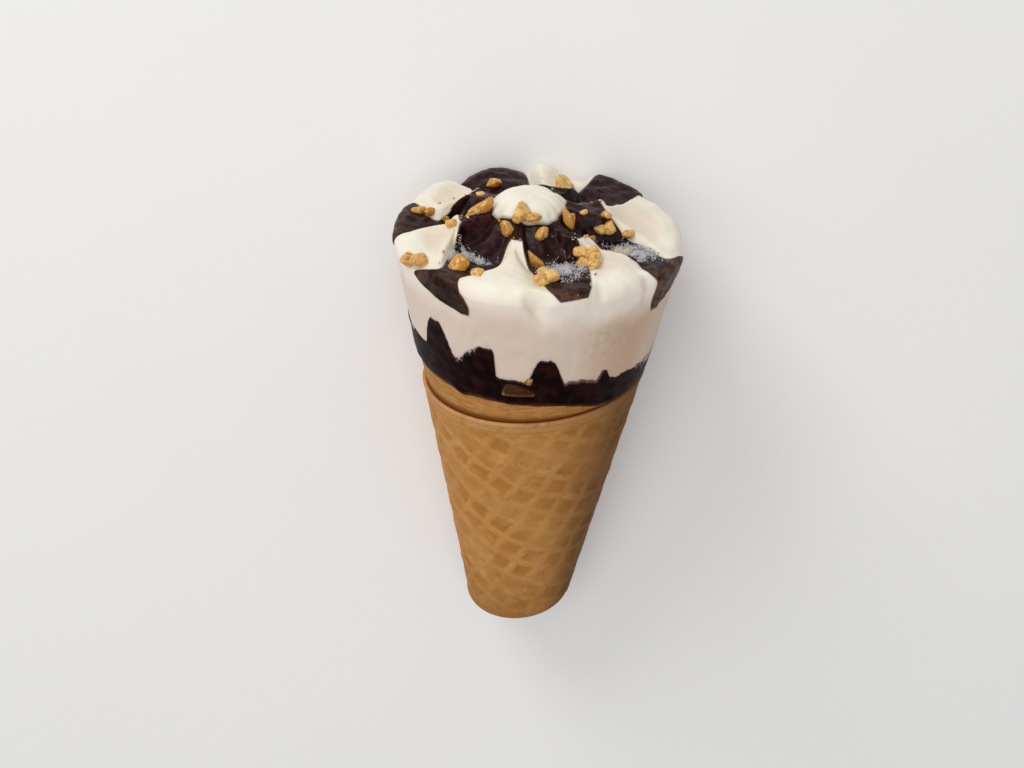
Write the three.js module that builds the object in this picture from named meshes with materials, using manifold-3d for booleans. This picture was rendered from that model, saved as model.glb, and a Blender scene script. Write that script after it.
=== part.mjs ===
// A filled, rolled wafer cone that lies on its side on a narrow flat strip.
// All sizes are millimetres. The cone is worked out upright, with its axis along Z and
// the middle of the wafer's lip at the origin, and the finished group is laid down at the end.
// Angles go round the axis in degrees: 0 is the shown front (-Y), 90 is +X.

import * as THREE from 'three';
import Module from 'manifold-3d';
import { mergeVertices } from 'three/addons/utils/BufferGeometryUtils.js';

const wasm = await Module();
wasm.setup();

// Driving sizes of the whole cone
const LIP_RADIUS = 24;
const TAPER = 0.1946; // growth of the radius for each millimetre up the axis
const HALF_ANGLE = Math.atan(TAPER);
const APEX_Z = -LIP_RADIUS / TAPER;
const GAP = 0.3; // air between two pieces that touch
const REST_FLAT_DEPTH = 0.4; // how deep the resting strip is cut into the round side

// Wafer
const OUTER_WRAP = 0.8;
const WAFER_WALL = 2.6;
const LIP_SLANT = 0.127; // the outer wrap's edge climbs to the right
const LIP_BAND = 2.6; // smooth band under the outer wrap's edge
const TIP_Z = -64.2;
const TIP_SLANT = 0.1;
const TIP_ROUNDING = 3.2;
const WAFER_FLOOR = 2.6;
const WAFER_COLUMNS = 48;

// Waffle pattern, pressed square into the flat sheet before it is rolled
const CELL_PITCH = 5.5;
const CELL_TURN = 25;
const CELL_FLOOR = 3.1;
const CELL_DEPTH = 0.65;
const CELL_UNEVEN = 0.3;
const CELL_CENTRE = { angle: 18, z: -36 };
const SEAM_ANGLE = -140;
const SEAM_STEP = 0.8;
const SEAM_FADE = 24;

// Chocolate layer that runs through the ice cream just above the wafer
const LAYER_COLUMNS = 120;
const LAYER_FOOT_Z = 5.1;
const LAYER_PLUG_Z = 1;
const LAYER_TOP_INSIDE = 8.6;
const LAYER_EDGE_Z = 11.4;
const LAYER_EDGE_SLANT = 2.1; // the edge lies higher on the left
const COLLAR = 1.7; // thickness of the tongues that climb the side

// On the right the layer's foot droops over the inner wrap, down to the outer wrap's edge
const DROOP = { depth: 2.4, from: 12, full: 42, fade: 80, end: 110 };
const LIP_CLEARANCE = 0.45;

// Tongues of the layer: the angle and height of each top, and how far it spreads to both sides
const TONGUES = [
  { angle: -45, left: 10, right: 11.5, top: 21.1 }, { angle: -36, left: 12, right: 12, top: 14 },
  { angle: -16.5, left: 22, right: 1.6, top: 18.9 }, { angle: 6, left: 8, right: 11, top: 17.5 },
  { angle: 21, left: 8, right: 12, top: 11.6 }, { angle: 34, left: 3.5, right: 5, top: 12.9 },
  { angle: 88, left: 11, right: 11, top: 15 }, { angle: 121, left: 9, right: 9, top: 18.4 },
  { angle: 152, left: 10, right: 10, top: 13.6 }, { angle: 178, left: 9, right: 9, top: 16.2 },
  { angle: -153, left: 10, right: 10, top: 19.2 }, { angle: -124, left: 8, right: 8, top: 14.4 },
  { angle: -98, left: 9, right: 9, top: 16.8 },
];
const LAYER_NUT = { angle: -7, z: 9.4, wide: 7.2, high: 6, deep: 4, proud: 0.45 };

// Dollop in the middle of the top, with an outline that is a little out of round
const DOLLOP = { x: -2.2, y: 0.8, top: 40.4, crown: 6.3, edge: 7.5, drop: 3.6 };
const DOLLOP_LOBES = [{ count: 3, size: 0.05, from: 20 }, { count: 5, size: 0.035, from: -30 }];
const CRATER_Z = 31.6; // where the streams begin, at the foot of the slope round the dollop
const SLOPE_BEND = 1.5;
const ROOT_DROP = 1.1; // how much lower a petal's coated root is than the petal's inner end
const ROOT_RUN = 2; // width of a root's steep side

// The six chocolate streams, in order round the axis. Their two sides are angles where they
// leave the crater, half way out, where the rim starts to turn, and at three heights down the
// leaf in which they end on the side. dip is how far they cross the rim below the petals, and
// arch how much lower still they are at their two sides. reach is how much further out than
// the petals beside it a stream begins.
const STREAMS = [
  {
    low: [-175, -174.5, -173, -171, -168, -163],
    high: [-128, -138, -140, -143, -146, -151],
    tip: -157, end: 25.5, dip: 1.2, arch: 2.2, reach: 3,
  },
  {
    low: [-116, -98, -110, -109, -106, -100],
    high: [-76, -83, -82, -82, -84, -88],
    tip: -94, end: 25, dip: 1.6, arch: 0.4, reach: 3,
  },
  {
    low: [-70, -54, -43, -53, -50, -41],
    high: [-23, -23, -31, -29, -27, -25.5],
    tip: -27, end: 26.2, dip: 0.6, arch: 0, reach: 4.5,
  },
  {
    low: [-15, -1, 8, 18.5, 18.5, 18.5],
    high: [36, 29, 22.5, 20.5, 20, 20],
    tip: 19.2, end: 28.2, dip: 0.3, arch: 0, reach: 2.2, short: true,
  },
  {
    low: [43, 57, 50, 52, 52, 52],
    high: [88, 77, 67, 79, 75, 66],
    tip: 55, end: 24.6, dip: 0.9, arch: 0, reach: 1,
  },
  {
    low: [118, 127, 132, 132, 133, 136],
    high: [156, 155, 155.5, 154, 151, 147],
    tip: 142, end: 26, dip: 1, arch: 0.3, reach: 3,
  },
];
const LEAF_TIP_HALF = 1.2;

// The six petals, each after the stream of the same number. start is where a petal rises from
// the crater, inner and rim are its heights there and at the rim, and scoop is how hollow it
// is. Its rim is highest at the share crown of its width and has dropped by arch where it is
// the share half away from there.
const PETALS = [
  { start: 16, inner: 36.6, rim: 34, scoop: 1.6, crown: 0.5, half: 0.5, arch: 0.9 },
  { start: 15.8, inner: 37.2, rim: 33.4, scoop: 1.6, crown: 0.5, half: 0.5, arch: 0.4 },
  { start: 12.6, inner: 37, rim: 33.8, scoop: 0.6, crown: 0.5, half: 0.5, arch: 0.2 },
  { start: 12.2, inner: 36.8, rim: 34.6, scoop: 1.1, crown: 0.55, half: 0.5, arch: 0.8 },
  { start: 12.6, inner: 37.4, rim: 34, scoop: 1.9, crown: 0.5, half: 0.5, arch: 1 },
  { start: 13.2, inner: 36.4, rim: 34.9, scoop: 1, crown: 0.76, half: 0.4, arch: 3 },
];
const PETAL_STEPS = [0, 0.09, 0.24, 0.41, 0.59, 0.76, 0.91];
const STREAM_STEPS = [0, 0.2, 0.5, 0.8];
const MID_RADIUS = 21;
const PETAL_ROUNDING = 3.2; // of the rim, where it turns into the side
const STREAM_ROUNDING = 2;
const WALL_RUN = 1.3; // width of a petal's steep inner end
const EDGE_RUN = 1.9; // width of a petal's steep side

// The front petal's side towards the short stream opens out into a broad slope towards the rim
const CREST = { petal: 2, run: 6, from: 14, full: 26 };

// Valleys between two lobes that run over the rim and fade out down the side
const GROOVES = [
  { angle: 1, half: 6, depth: 1.6, foot: 24 },
  { angle: 46.5, half: 5, depth: 1.2, foot: 25 },
];
const GROOVE_TOP = 31;

// Chocolate of the topping
const TOPPING_DEPTH = 1.5;
const TOPPING_EDGE = 0.5;
const TOPPING_PROUD = 0.15;

// Chopped nuts: the middle of each, a little above the surface that carries it, its length and
// width, its turn in degrees and how far its far end is tilted up. on tells which piece it is
// fused to. Lumps that lie close together form one cluster.
const NUTS = [
  { on: 'cream', x: 8.6, y: -14.3, z: 35.3, long: 2.8, wide: 2.4, turn: 60, tilt: 0 },
  { on: 'cream', x: 10.4, y: -14.6, z: 35.3, long: 2.8, wide: 2.4, turn: 10, tilt: 20 },
  { on: 'cream', x: 9.4, y: -16.2, z: 34, long: 2.6, wide: 2.3, turn: -30, tilt: 0 },
  { on: 'cream', x: 11.2, y: -18.5, z: 34.9, long: 2.4, wide: 2.2, turn: 40, tilt: 30 },
  { on: 'cream', x: 11.4, y: -16.3, z: 35.2, long: 2.8, wide: 2.4, turn: 80, tilt: 0 },
  { on: 'cream', x: -25.3, y: -15.6, z: 32, long: 3, wide: 2.8, turn: -20, tilt: 0 },
  { on: 'cream', x: -23.1, y: -17.3, z: 32.9, long: 3.2, wide: 3, turn: 30, tilt: -15 },
  { on: 'topping', x: -12.5, y: -1.3, z: 36.5, long: 5.8, wide: 2.5, turn: 16, tilt: 43 },
  { on: 'topping', x: -15.1, y: -18.6, z: 33.2, long: 4.3, wide: 3.2, turn: 29, tilt: 40 },
  { on: 'topping', x: 1, y: -24.3, z: 33.5, long: 2.8, wide: 2.6, turn: 20, tilt: 0 },
  { on: 'topping', x: 2.8, y: -23.1, z: 33.9, long: 2.8, wide: 2.6, turn: -40, tilt: 20 },
  { on: 'topping', x: 1.7, y: -21.8, z: 33.9, long: 2.8, wide: 2.6, turn: 70, tilt: 0 },
  { on: 'cream', x: 5.4, y: 17.4, z: 34.4, long: 4.8, wide: 3.2, turn: -29, tilt: -48 },
  { on: 'cream', x: -3.6, y: -5.8, z: 38.8, long: 3.8, wide: 3.4, turn: 70, tilt: 40 },
  { on: 'cream', x: -1.3, y: -6.8, z: 38.2, long: 3, wide: 1.9, turn: 0, tilt: 0 },
  { on: 'topping', x: 12.6, y: -2.3, z: 34.5, long: 2.4, wide: 2.1, turn: 5, tilt: 0 },
  { on: 'topping', x: 14.3, y: -2.7, z: 35.2, long: 2.6, wide: 2.3, turn: 50, tilt: 20 },
  { on: 'topping', x: 13.4, y: -1.2, z: 37.3, long: 1.9, wide: 1.7, turn: 0, tilt: 0 },
  { on: 'topping', x: -0.4, y: -14.4, z: 32.7, long: 3.9, wide: 2.2, turn: -27, tilt: -42 },
  { on: 'topping', x: 5.6, y: -3.5, z: 37, long: 3.9, wide: 2.2, turn: -34, tilt: -65 },
  { on: 'topping', x: -6.3, y: -8.1, z: 36.4, long: 3.3, wide: 2.4, turn: -20, tilt: -60 },
  { on: 'topping', x: 0.6, y: -9.2, z: 36.2, long: 3.3, wide: 2, turn: -20, tilt: 70 },
  { on: 'topping', x: -11.2, y: -22.3, z: 33.5, long: 2.8, wide: 2.4, turn: -25, tilt: 0 },
  { on: 'topping', x: -10.2, y: 18.9, z: 33.5, long: 3, wide: 2.4, turn: 15, tilt: 0 },
  { on: 'cream', x: -22.8, y: 4.4, z: 32.8, long: 2.4, wide: 2, turn: 30, tilt: 0 },
  { on: 'topping', x: -25.3, y: 5.9, z: 32.3, long: 2.6, wide: 1.8, turn: 10, tilt: 0 },
  { on: 'cream', x: -17.5, y: -5.6, z: 35.5, long: 2.2, wide: 1.8, turn: 0, tilt: 0 },
  { on: 'cream', x: 18.4, y: -3.2, z: 34.1, long: 2.3, wide: 1.9, turn: 35, tilt: 0 },
];
const NUT_THICK = 0.85; // of its width
const NUT_RAGGED = 0.3;

const radians = THREE.MathUtils.degToRad;
const mix = THREE.MathUtils.lerp;
const smooth = THREE.MathUtils.smoothstep;
const envelope = (z) => LIP_RADIUS + TAPER * z;

// A point given by its distance from the axis, its angle in degrees and its height
function around(radius, angle, z) {
  const turn = radians(angle);
  return new THREE.Vector3(radius * Math.sin(turn), -radius * Math.cos(turn), z);
}

// A repeatable number from 0 to 1 for a whole-number seed
function chance(seed) {
  const wave = Math.sin(seed * 12.9898 + 4.137) * 43758.5453;
  return wave - Math.floor(wave);
}

// Collects triangles by their corner points and turns them into a closed solid
class Skin {
  constructor() {
    this.corners = [];
  }

  triangle(a, b, c) {
    this.corners.push(a.clone(), b.clone(), c.clone());
  }

  quad(a, b, c, d) {
    this.triangle(a, b, c);
    this.triangle(a, c, d);
  }

  // Bands between successive closed rings, which run down the outside
  rings(rings) {
    for (let row = 0; row + 1 < rings.length; row += 1) {
      const upper = rings[row];
      const lower = rings[row + 1];
      for (let column = 0; column < upper.length; column += 1) {
        const next = (column + 1) % upper.length;
        this.quad(upper[column], lower[column], lower[next], upper[next]);
      }
    }
  }

  // A fan from one point to a ring, seen from above with facing 1 and from below with -1
  fan(pole, ring, facing) {
    ring.forEach((point, column) => {
      const next = ring[(column + 1) % ring.length];
      if (facing > 0) this.triangle(pole, point, next);
      else this.triangle(pole, next, point);
    });
  }

  // A band between two lines of points with unlike spacing, each with its own measure
  zip(upper, lower, upperMeasure, lowerMeasure) {
    let high = 0;
    let low = 0;
    while (high + 1 < upper.length || low + 1 < lower.length) {
      const stepLow = high + 1 >= upper.length
        || (low + 1 < lower.length && lowerMeasure[low + 1] < upperMeasure[high + 1]);
      if (stepLow) {
        this.triangle(upper[high], lower[low], lower[low + 1]);
        low += 1;
      } else {
        this.triangle(upper[high], lower[low], upper[high + 1]);
        high += 1;
      }
    }
  }

  solid() {
    const loose = new THREE.BufferGeometry().setFromPoints(this.corners);
    return solidOf(loose);
  }
}

// A closed three.js geometry as a solid that can be joined and cut
function solidOf(geometry) {
  const bare = geometry.index ? geometry.toNonIndexed() : geometry.clone();
  bare.deleteAttribute('normal');
  bare.deleteAttribute('uv');
  const merged = mergeVertices(bare, 1e-4);
  const index = merged.index.array;
  const kept = [];
  for (let i = 0; i < index.length; i += 3) {
    const [a, b, c] = [index[i], index[i + 1], index[i + 2]];
    if (a !== b && b !== c && c !== a) kept.push(a, b, c);
  }
  return new wasm.Manifold(new wasm.Mesh({
    numProp: 3,
    vertProperties: new Float32Array(merged.attributes.position.array),
    triVerts: new Uint32Array(kept),
  }));
}

// Laying the upright cone down: its shown front turns up and its lowest side is level
const LAY_DOWN = new THREE.Matrix4().makeRotationX(HALF_ANGLE - Math.PI / 2);
const LYING_HEIGHT = LIP_RADIUS * Math.cos(HALF_ANGLE) - REST_FLAT_DEPTH;

// Everything under the level strip that the cone rests on
function belowTheRest() {
  const size = 300;
  const block = new THREE.BoxGeometry(size, size, size);
  block.translate(0, 0, -size / 2 - LYING_HEIGHT);
  block.applyMatrix4(LAY_DOWN.clone().invert());
  return solidOf(block);
}
const restBlock = belowTheRest();

function meshOf(name, solid, material) {
  const { vertProperties, triVerts } = solid.subtract(restBlock).getMesh();
  const geometry = new THREE.BufferGeometry();
  geometry.setAttribute('position', new THREE.BufferAttribute(vertProperties, 3));
  geometry.setIndex(new THREE.BufferAttribute(triVerts, 1));
  const mesh = new THREE.Mesh(geometry, material);
  mesh.name = name;
  return mesh;
}

// Wafer sheet

// Flat sheet coordinates: x across, y away from the cone's point
function sheetPoint(angle, z) {
  const slant = (z - APEX_Z) / Math.cos(HALF_ANGLE);
  const turn = radians(angle) * Math.sin(HALF_ANGLE);
  return { x: slant * Math.sin(turn), y: slant * Math.cos(turn) };
}

function sheetAngle(p) {
  return THREE.MathUtils.radToDeg(Math.atan2(p.x, p.y) / Math.sin(HALF_ANGLE));
}

function sheetHeight(p) {
  return Math.hypot(p.x, p.y) * Math.cos(HALF_ANGLE) + APEX_Z;
}

// The sheet's last turn dips under its first one at the seam
function seamDip(angle) {
  return SEAM_STEP * smooth(angle, SEAM_ANGLE + 360 - SEAM_FADE, SEAM_ANGLE + 360);
}

function rolled(p, depth) {
  const z = sheetHeight(p);
  const angle = sheetAngle(p);
  return around(envelope(z) - depth - seamDip(angle), angle, z);
}

const lipHeight = (angle) => LIP_SLANT * LIP_RADIUS * Math.sin(radians(angle));

// Height of the chocolate layer's foot, and of the inner wrap's edge just under it
function layerFoot(angle) {
  const turn = THREE.MathUtils.euclideanModulo(angle + 180, 360) - 180;
  const share = smooth(turn, DROOP.from, DROOP.full) * (1 - smooth(turn, DROOP.fade, DROOP.end));
  return Math.max(LAYER_FOOT_Z - DROOP.depth * share, lipHeight(angle) + LIP_CLEARANCE);
}
const innerTop = (angle) => layerFoot(angle) - GAP;

const tipHeight = (radius, angle) => TIP_Z + TIP_SLANT * radius * Math.sin(radians(angle));
const latticeTop = (angle) => lipHeight(angle) - LIP_BAND;
const LATTICE_BOTTOM = TIP_Z + TIP_ROUNDING + 0.8;

// The four borders of the patterned sheet, each positive inside
const BORDERS = [
  (p) => latticeTop(sheetAngle(p)) - sheetHeight(p),
  (p) => sheetHeight(p) - LATTICE_BOTTOM,
  (p) => sheetAngle(p) - SEAM_ANGLE,
  (p) => SEAM_ANGLE + 360 - sheetAngle(p),
];

// Where the straight edge a-b meets a border, the same from both ends
function crossing(a, b, border) {
  const [from, to] = a.x < b.x || (a.x === b.x && a.y < b.y) ? [a, b] : [b, a];
  let [near, far] = [0, 1];
  const at = (t) => ({ x: mix(from.x, to.x, t), y: mix(from.y, to.y, t) });
  const sign = Math.sign(border(from));
  for (let step = 0; step < 30; step += 1) {
    const middle = (near + far) / 2;
    if (Math.sign(border(at(middle))) === sign) near = middle;
    else far = middle;
  }
  return at((near + far) / 2);
}

function clipped(polygon, border) {
  const result = [];
  polygon.forEach((point, k) => {
    const next = polygon[(k + 1) % polygon.length];
    const inside = border(point) >= 0;
    if (inside) result.push(point);
    if (inside !== border(next) >= 0) result.push(crossing(point, next, border));
  });
  return result;
}

// Corner (i, j) of the waffle pattern on the flat sheet, a little off its true place
function latticeCorner(i, j) {
  const centre = sheetPoint(CELL_CENTRE.angle, CELL_CENTRE.z);
  const turn = radians(CELL_TURN);
  const along = (i - 0.5) * CELL_PITCH + CELL_UNEVEN * (chance(i * 71 + j * 137) - 0.5);
  const up = (j - 0.5) * CELL_PITCH + CELL_UNEVEN * (chance(i * 59 + j * 101 + 7) - 0.5);
  return {
    x: centre.x + along * Math.cos(turn) + up * Math.sin(turn),
    y: centre.y - along * Math.sin(turn) + up * Math.cos(turn),
  };
}

// One waffle cell with its four walls and sunk floor
function wholeCell(skin, corners, seed) {
  const centre = {
    x: corners.reduce((sum, p) => sum + p.x / 4, 0),
    y: corners.reduce((sum, p) => sum + p.y / 4, 0),
  };
  const depth = CELL_DEPTH * (0.75 + 0.5 * chance(seed));
  const reach = CELL_FLOOR / CELL_PITCH;
  const crest = corners.map((p) => rolled(p, 0));
  const floor = corners.map((p) => rolled({
    x: mix(centre.x, p.x, reach),
    y: mix(centre.y, p.y, reach),
  }, depth));
  for (let k = 0; k < 4; k += 1) {
    const next = (k + 1) % 4;
    skin.quad(crest[k], crest[next], floor[next], floor[k]);
  }
  skin.quad(...floor);
}

// The patterned sheet. It gives back its border points, which the lip, tip and seam join.
function waffleSheet(skin) {
  const borderPoints = BORDERS.map(() => new Map());
  const span = Math.ceil(110 / CELL_PITCH) + 8;
  for (let i = -span; i <= span; i += 1) {
    for (let j = -span; j <= span; j += 1) {
      const corners = [
        latticeCorner(i, j), latticeCorner(i + 1, j),
        latticeCorner(i + 1, j + 1), latticeCorner(i, j + 1),
      ];
      const behind = corners.some((p) => p.y < 0 && Math.abs(p.x) < CELL_PITCH);
      if (behind) continue;
      if (corners.every((p) => BORDERS.every((border) => border(p) >= 0))) {
        wholeCell(skin, corners, i * 31 + j * 17);
        continue;
      }
      let polygon = corners;
      for (const border of BORDERS) {
        if (polygon.length) polygon = clipped(polygon, border);
      }
      for (let k = 1; k + 1 < polygon.length; k += 1) {
        skin.triangle(rolled(polygon[0], 0), rolled(polygon[k], 0), rolled(polygon[k + 1], 0));
      }
      polygon.forEach((p) => BORDERS.forEach((border, side) => {
        const onBorder = Math.abs(border(p)) < 1e-4;
        if (onBorder) borderPoints[side].set(`${p.x.toFixed(3)} ${p.y.toFixed(3)}`, p);
      }));
    }
  }
  return borderPoints.map((points) => [...points.values()]);
}

// A level ring of the wafer's lip or tip, with a closing point at the seam's angle
function waferRing(radius, height) {
  const angles = Array.from({ length: WAFER_COLUMNS + 1 },
    (_, k) => SEAM_ANGLE + (k * 360) / WAFER_COLUMNS);
  return {
    angles,
    points: angles.map((angle) => around(radius(height(angle), angle), angle, height(angle))),
  };
}

function waferSolid() {
  const skin = new Skin();
  const [top, bottom, seamLeft, seamRight] = waffleSheet(skin);
  const byAngle = (a, b) => sheetAngle(a) - sheetAngle(b);
  const byHeight = (a, b) => sheetHeight(b) - sheetHeight(a);
  seamLeft.sort(byHeight);
  seamRight.sort(byHeight);
  const seamEnds = [seamLeft, seamRight];
  top.push(...seamEnds.map((line) => line[0]));
  bottom.push(...seamEnds.map((line) => line[line.length - 1]));
  top.sort(byAngle);
  bottom.sort(byAngle);

  // Outer wrap's edge, the groove, the inner wrap, and the inside down to the wafer's floor
  const upper = [
    waferRing((z) => envelope(z) + 0.05, (angle) => lipHeight(angle) - 0.5),
    waferRing((z) => envelope(z) - 0.35, lipHeight),
    waferRing((z) => envelope(z) - OUTER_WRAP, (angle) => lipHeight(angle) - 0.15),
    waferRing((z) => envelope(z) - OUTER_WRAP, (angle) => mix(lipHeight(angle), innerTop(angle), 0.45)),
    waferRing((z) => envelope(z) - OUTER_WRAP - 0.1, innerTop),
    waferRing((z) => envelope(z) - WAFER_WALL, innerTop),
    waferRing((z) => envelope(z) - WAFER_WALL, () => (LAYER_FOOT_Z + TIP_Z) / 2),
    waferRing((z) => envelope(z) - WAFER_WALL, () => TIP_Z + WAFER_FLOOR),
  ];
  const edgeAngles = (points) => points.map(sheetAngle);
  const outline = (points) => points.map((p) => rolled(p, 0));
  skin.zip(upper[0].points, outline(top), upper[0].angles, edgeAngles(top));
  for (let row = 0; row + 1 < upper.length; row += 1) {
    skin.zip(upper[row + 1].points, upper[row].points, upper[row + 1].angles, upper[row].angles);
  }
  const floorRing = upper[upper.length - 1].points.slice(0, WAFER_COLUMNS);
  skin.fan(new THREE.Vector3(0, 0, TIP_Z + WAFER_FLOOR), floorRing, 1);

  // Rounded blunt end
  const tipRadius = envelope(TIP_Z);
  const end = [0.15, 0.55, 1].map((share) => {
    const turn = share * Math.PI / 2;
    const inset = TIP_ROUNDING * (1 - Math.cos(turn));
    const rise = TIP_ROUNDING * (1 - Math.sin(turn));
    return waferRing(() => tipRadius + 0.6 - inset, (angle) => tipHeight(tipRadius, angle) + rise);
  });
  skin.zip(outline(bottom), end[0].points, edgeAngles(bottom), end[0].angles);
  for (let row = 0; row + 1 < end.length; row += 1) {
    skin.zip(end[row].points, end[row + 1].points, end[row].angles, end[row + 1].angles);
  }
  const lastRing = end[end.length - 1].points.slice(0, WAFER_COLUMNS);
  skin.fan(new THREE.Vector3(0, 0, TIP_Z), lastRing, -1);

  // Step at the seam, with a small triangle at each end where the step fades out
  const measure = (points) => points.map((p) => -sheetHeight(p));
  const [left, right] = seamEnds.map(outline);
  skin.zip(left, right, measure(seamLeft), measure(seamRight));
  skin.triangle(upper[0].points[0], right[0], left[0]);
  skin.triangle(end[0].points[0], left[left.length - 1], right[right.length - 1]);
  return skin.solid();
}

// Ice cream inside the wafer, under the chocolate layer
function fillingSolid() {
  const level = (radius, z) => Array.from({ length: WAFER_COLUMNS },
    (_, k) => around(radius, (k * 360) / WAFER_COLUMNS, z));
  const wall = (z) => envelope(z) - WAFER_WALL - GAP;
  const top = LAYER_PLUG_Z - GAP;
  const foot = TIP_Z + WAFER_FLOOR + GAP;
  const rings = [level(wall(top), top), level(wall(foot), foot)];
  const skin = new Skin();
  skin.fan(new THREE.Vector3(0, 0, top), rings[0], 1);
  skin.rings(rings);
  skin.fan(new THREE.Vector3(0, 0, foot), rings[1], -1);
  return skin.solid();
}

// How far one angle lies from another, from -180 to 180
const apart = (angle, other) => ((angle - other + 540) % 360) - 180;

// Ragged upper edge of the chocolate layer on the side
function layerEdge(angle) {
  const plain = LAYER_EDGE_Z - LAYER_EDGE_SLANT * Math.sin(radians(angle));
  return TONGUES.reduce((height, tongue) => {
    const turn = apart(angle, tongue.angle);
    const away = turn < 0 ? -turn / tongue.left : turn / tongue.right;
    return Math.max(height, mix(tongue.top, plain, smooth(away, 0.2, 1)));
  }, plain);
}

// One chopped piece: a ragged twenty-sided lump with half sizes along its own three ways
function nutSolid(half, turn, tilt, place, seed) {
  const lump = new THREE.IcosahedronGeometry(1, 0);
  lump.deleteAttribute('normal');
  lump.deleteAttribute('uv');
  const merged = mergeVertices(lump);
  const position = merged.attributes.position;
  for (let k = 0; k < position.count; k += 1) {
    const swell = 1.05 + NUT_RAGGED * (chance(seed * 20 + k) - 0.5);
    position.setXYZ(k, position.getX(k) * half.x * swell, position.getY(k) * half.y * swell,
      position.getZ(k) * half.z * swell);
  }
  merged.rotateY(-radians(tilt));
  merged.rotateZ(radians(turn));
  merged.translate(place.x, place.y, place.z);
  return solidOf(merged);
}

// The nuts that one piece carries, kept clear of its neighbour
function withNuts(body, on, neighbour) {
  const nuts = NUTS.map((nut, seed) => {
    const half = new THREE.Vector3(nut.long, nut.wide, nut.wide * NUT_THICK).multiplyScalar(0.5);
    return { on: nut.on, solid: nutSolid(half, nut.turn, nut.tilt, nut, seed) };
  });
  const kept = [-GAP, 0, GAP].map((lift) => neighbour.translate([0, 0, lift]));
  const joined = nuts.filter((nut) => nut.on === on).reduce(
    (sum, nut) => sum.add(kept.reduce((clear, part) => clear.subtract(part), nut.solid)),
    body,
  );
  return joined.decompose().sort((a, b) => b.volume() - a.volume())[0];
}

// The nut that shows in the side of the layer
function layerNut(margin) {
  const { angle, z, wide, high, deep, proud } = LAYER_NUT;
  const middle = around(envelope(z) - deep / 2 + proud, angle, z);
  const half = new THREE.Vector3(wide / 2, deep / 2, high / 2).addScalar(margin);
  return nutSolid(half, angle, 0, middle, NUTS.length);
}

// The chocolate layer, grown all round by a margin where it serves to cut the ice cream
function layerSolid(margin) {
  const ring = (radius, height) => Array.from({ length: LAYER_COLUMNS }, (_, k) => {
    const angle = (k * 360) / LAYER_COLUMNS;
    const z = height(angle);
    return around(radius(z), angle, z);
  });
  const edge = (angle) => layerEdge(angle) + margin;
  const outside = (z) => envelope(z) + margin * 8;
  const plug = (z) => envelope(z) - WAFER_WALL - GAP;
  const inside = LAYER_TOP_INSIDE + margin;
  const foot = (angle) => layerFoot(angle) - margin * 8;
  const rings = [
    ring((z) => envelope(z) * 0.5, () => inside),
    ring((z) => envelope(z) - COLLAR - 2.2 - margin, () => inside),
    ring((z) => envelope(z) - COLLAR - margin, (angle) => mix(inside, edge(angle), 0.35)),
    ring((z) => envelope(z) - COLLAR * 0.45 - margin, edge),
    ring(outside, (angle) => edge(angle) - 0.2),
    ring(outside, foot),
    ring((z) => plug(z), foot),
    ring((z) => plug(z), () => LAYER_PLUG_Z - margin * 8),
  ];
  const skin = new Skin();
  skin.fan(new THREE.Vector3(0, 0, inside), rings[0], 1);
  skin.rings(rings);
  skin.fan(new THREE.Vector3(0, 0, LAYER_PLUG_Z - margin * 8), rings[rings.length - 1], -1);
  return skin.solid().add(layerNut(margin));
}

// Top of the ice cream

// Which columns the grid has: each stream in a few steps, then the petal after it
const COLUMNS = STREAMS.flatMap((stream, k) => [
  ...STREAM_STEPS.map((share) => ({ stream: k, share })),
  ...PETAL_STEPS.map((share) => ({ petal: k, share })),
]);

// Side angles of stream k at station 0 to 6: crater, half way, rim, three down the leaf, tip
const TIP_STATION = 6;
function streamSide(k, side, station) {
  const stream = STREAMS[(k + 6) % 6];
  const lap = k >= 6 ? 360 : 0;
  const stations = [...stream[side], stream.tip + (side === 'low' ? -1 : 1) * LEAF_TIP_HALF];
  const before = Math.min(Math.floor(station), TIP_STATION - 1);
  return lap + mix(stations[before], stations[before + 1], station - before);
}

function columnAngle(column, station) {
  const k = column.stream ?? column.petal;
  if (column.petal === undefined) {
    return mix(streamSide(k, 'low', station), streamSide(k, 'high', station), column.share);
  }
  return mix(streamSide(k, 'high', station), streamSide(k + 1, 'low', station), column.share);
}

// A value that each petal has, carried evenly across the streams between them
function petalValue(column, name) {
  if (column.petal !== undefined) return PETALS[column.petal][name];
  const before = PETALS[(column.stream + 5) % 6][name];
  return mix(before, PETALS[column.stream][name], column.share);
}

// A value that each stream has, carried evenly across the petals between them
function streamValue(column, name) {
  if (column.petal === undefined) return STREAMS[column.stream][name];
  return mix(STREAMS[column.petal][name], STREAMS[(column.petal + 1) % 6][name], column.share);
}

// How far a stream, or the line between two streams under a petal, is below the petals' rim
function streamDrop(column) {
  const atSide = (k) => STREAMS[k % 6].dip + STREAMS[k % 6].arch;
  if (column.petal !== undefined) {
    return mix(atSide(column.petal), atSide(column.petal + 1), column.share);
  }
  const { dip, arch } = STREAMS[column.stream];
  return dip + arch * (2 * column.share - 1) ** 2;
}

// 1 on a petal, falling to 0 at its steep sides
function petalRise(column, station, radius) {
  if (column.petal === undefined) return 0;
  const width = radians(columnAngle({ ...column, share: 1 }, station)
    - columnAngle({ ...column, share: 0 }, station)) * radius;
  const opened = column.petal === CREST.petal ? smooth(radius, CREST.from, CREST.full) : 0;
  const farRun = mix(EDGE_RUN, CREST.run, opened);
  return smooth(column.share * width, -0.3, EDGE_RUN)
    * smooth((1 - column.share) * width, -0.3, farRun);
}

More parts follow.
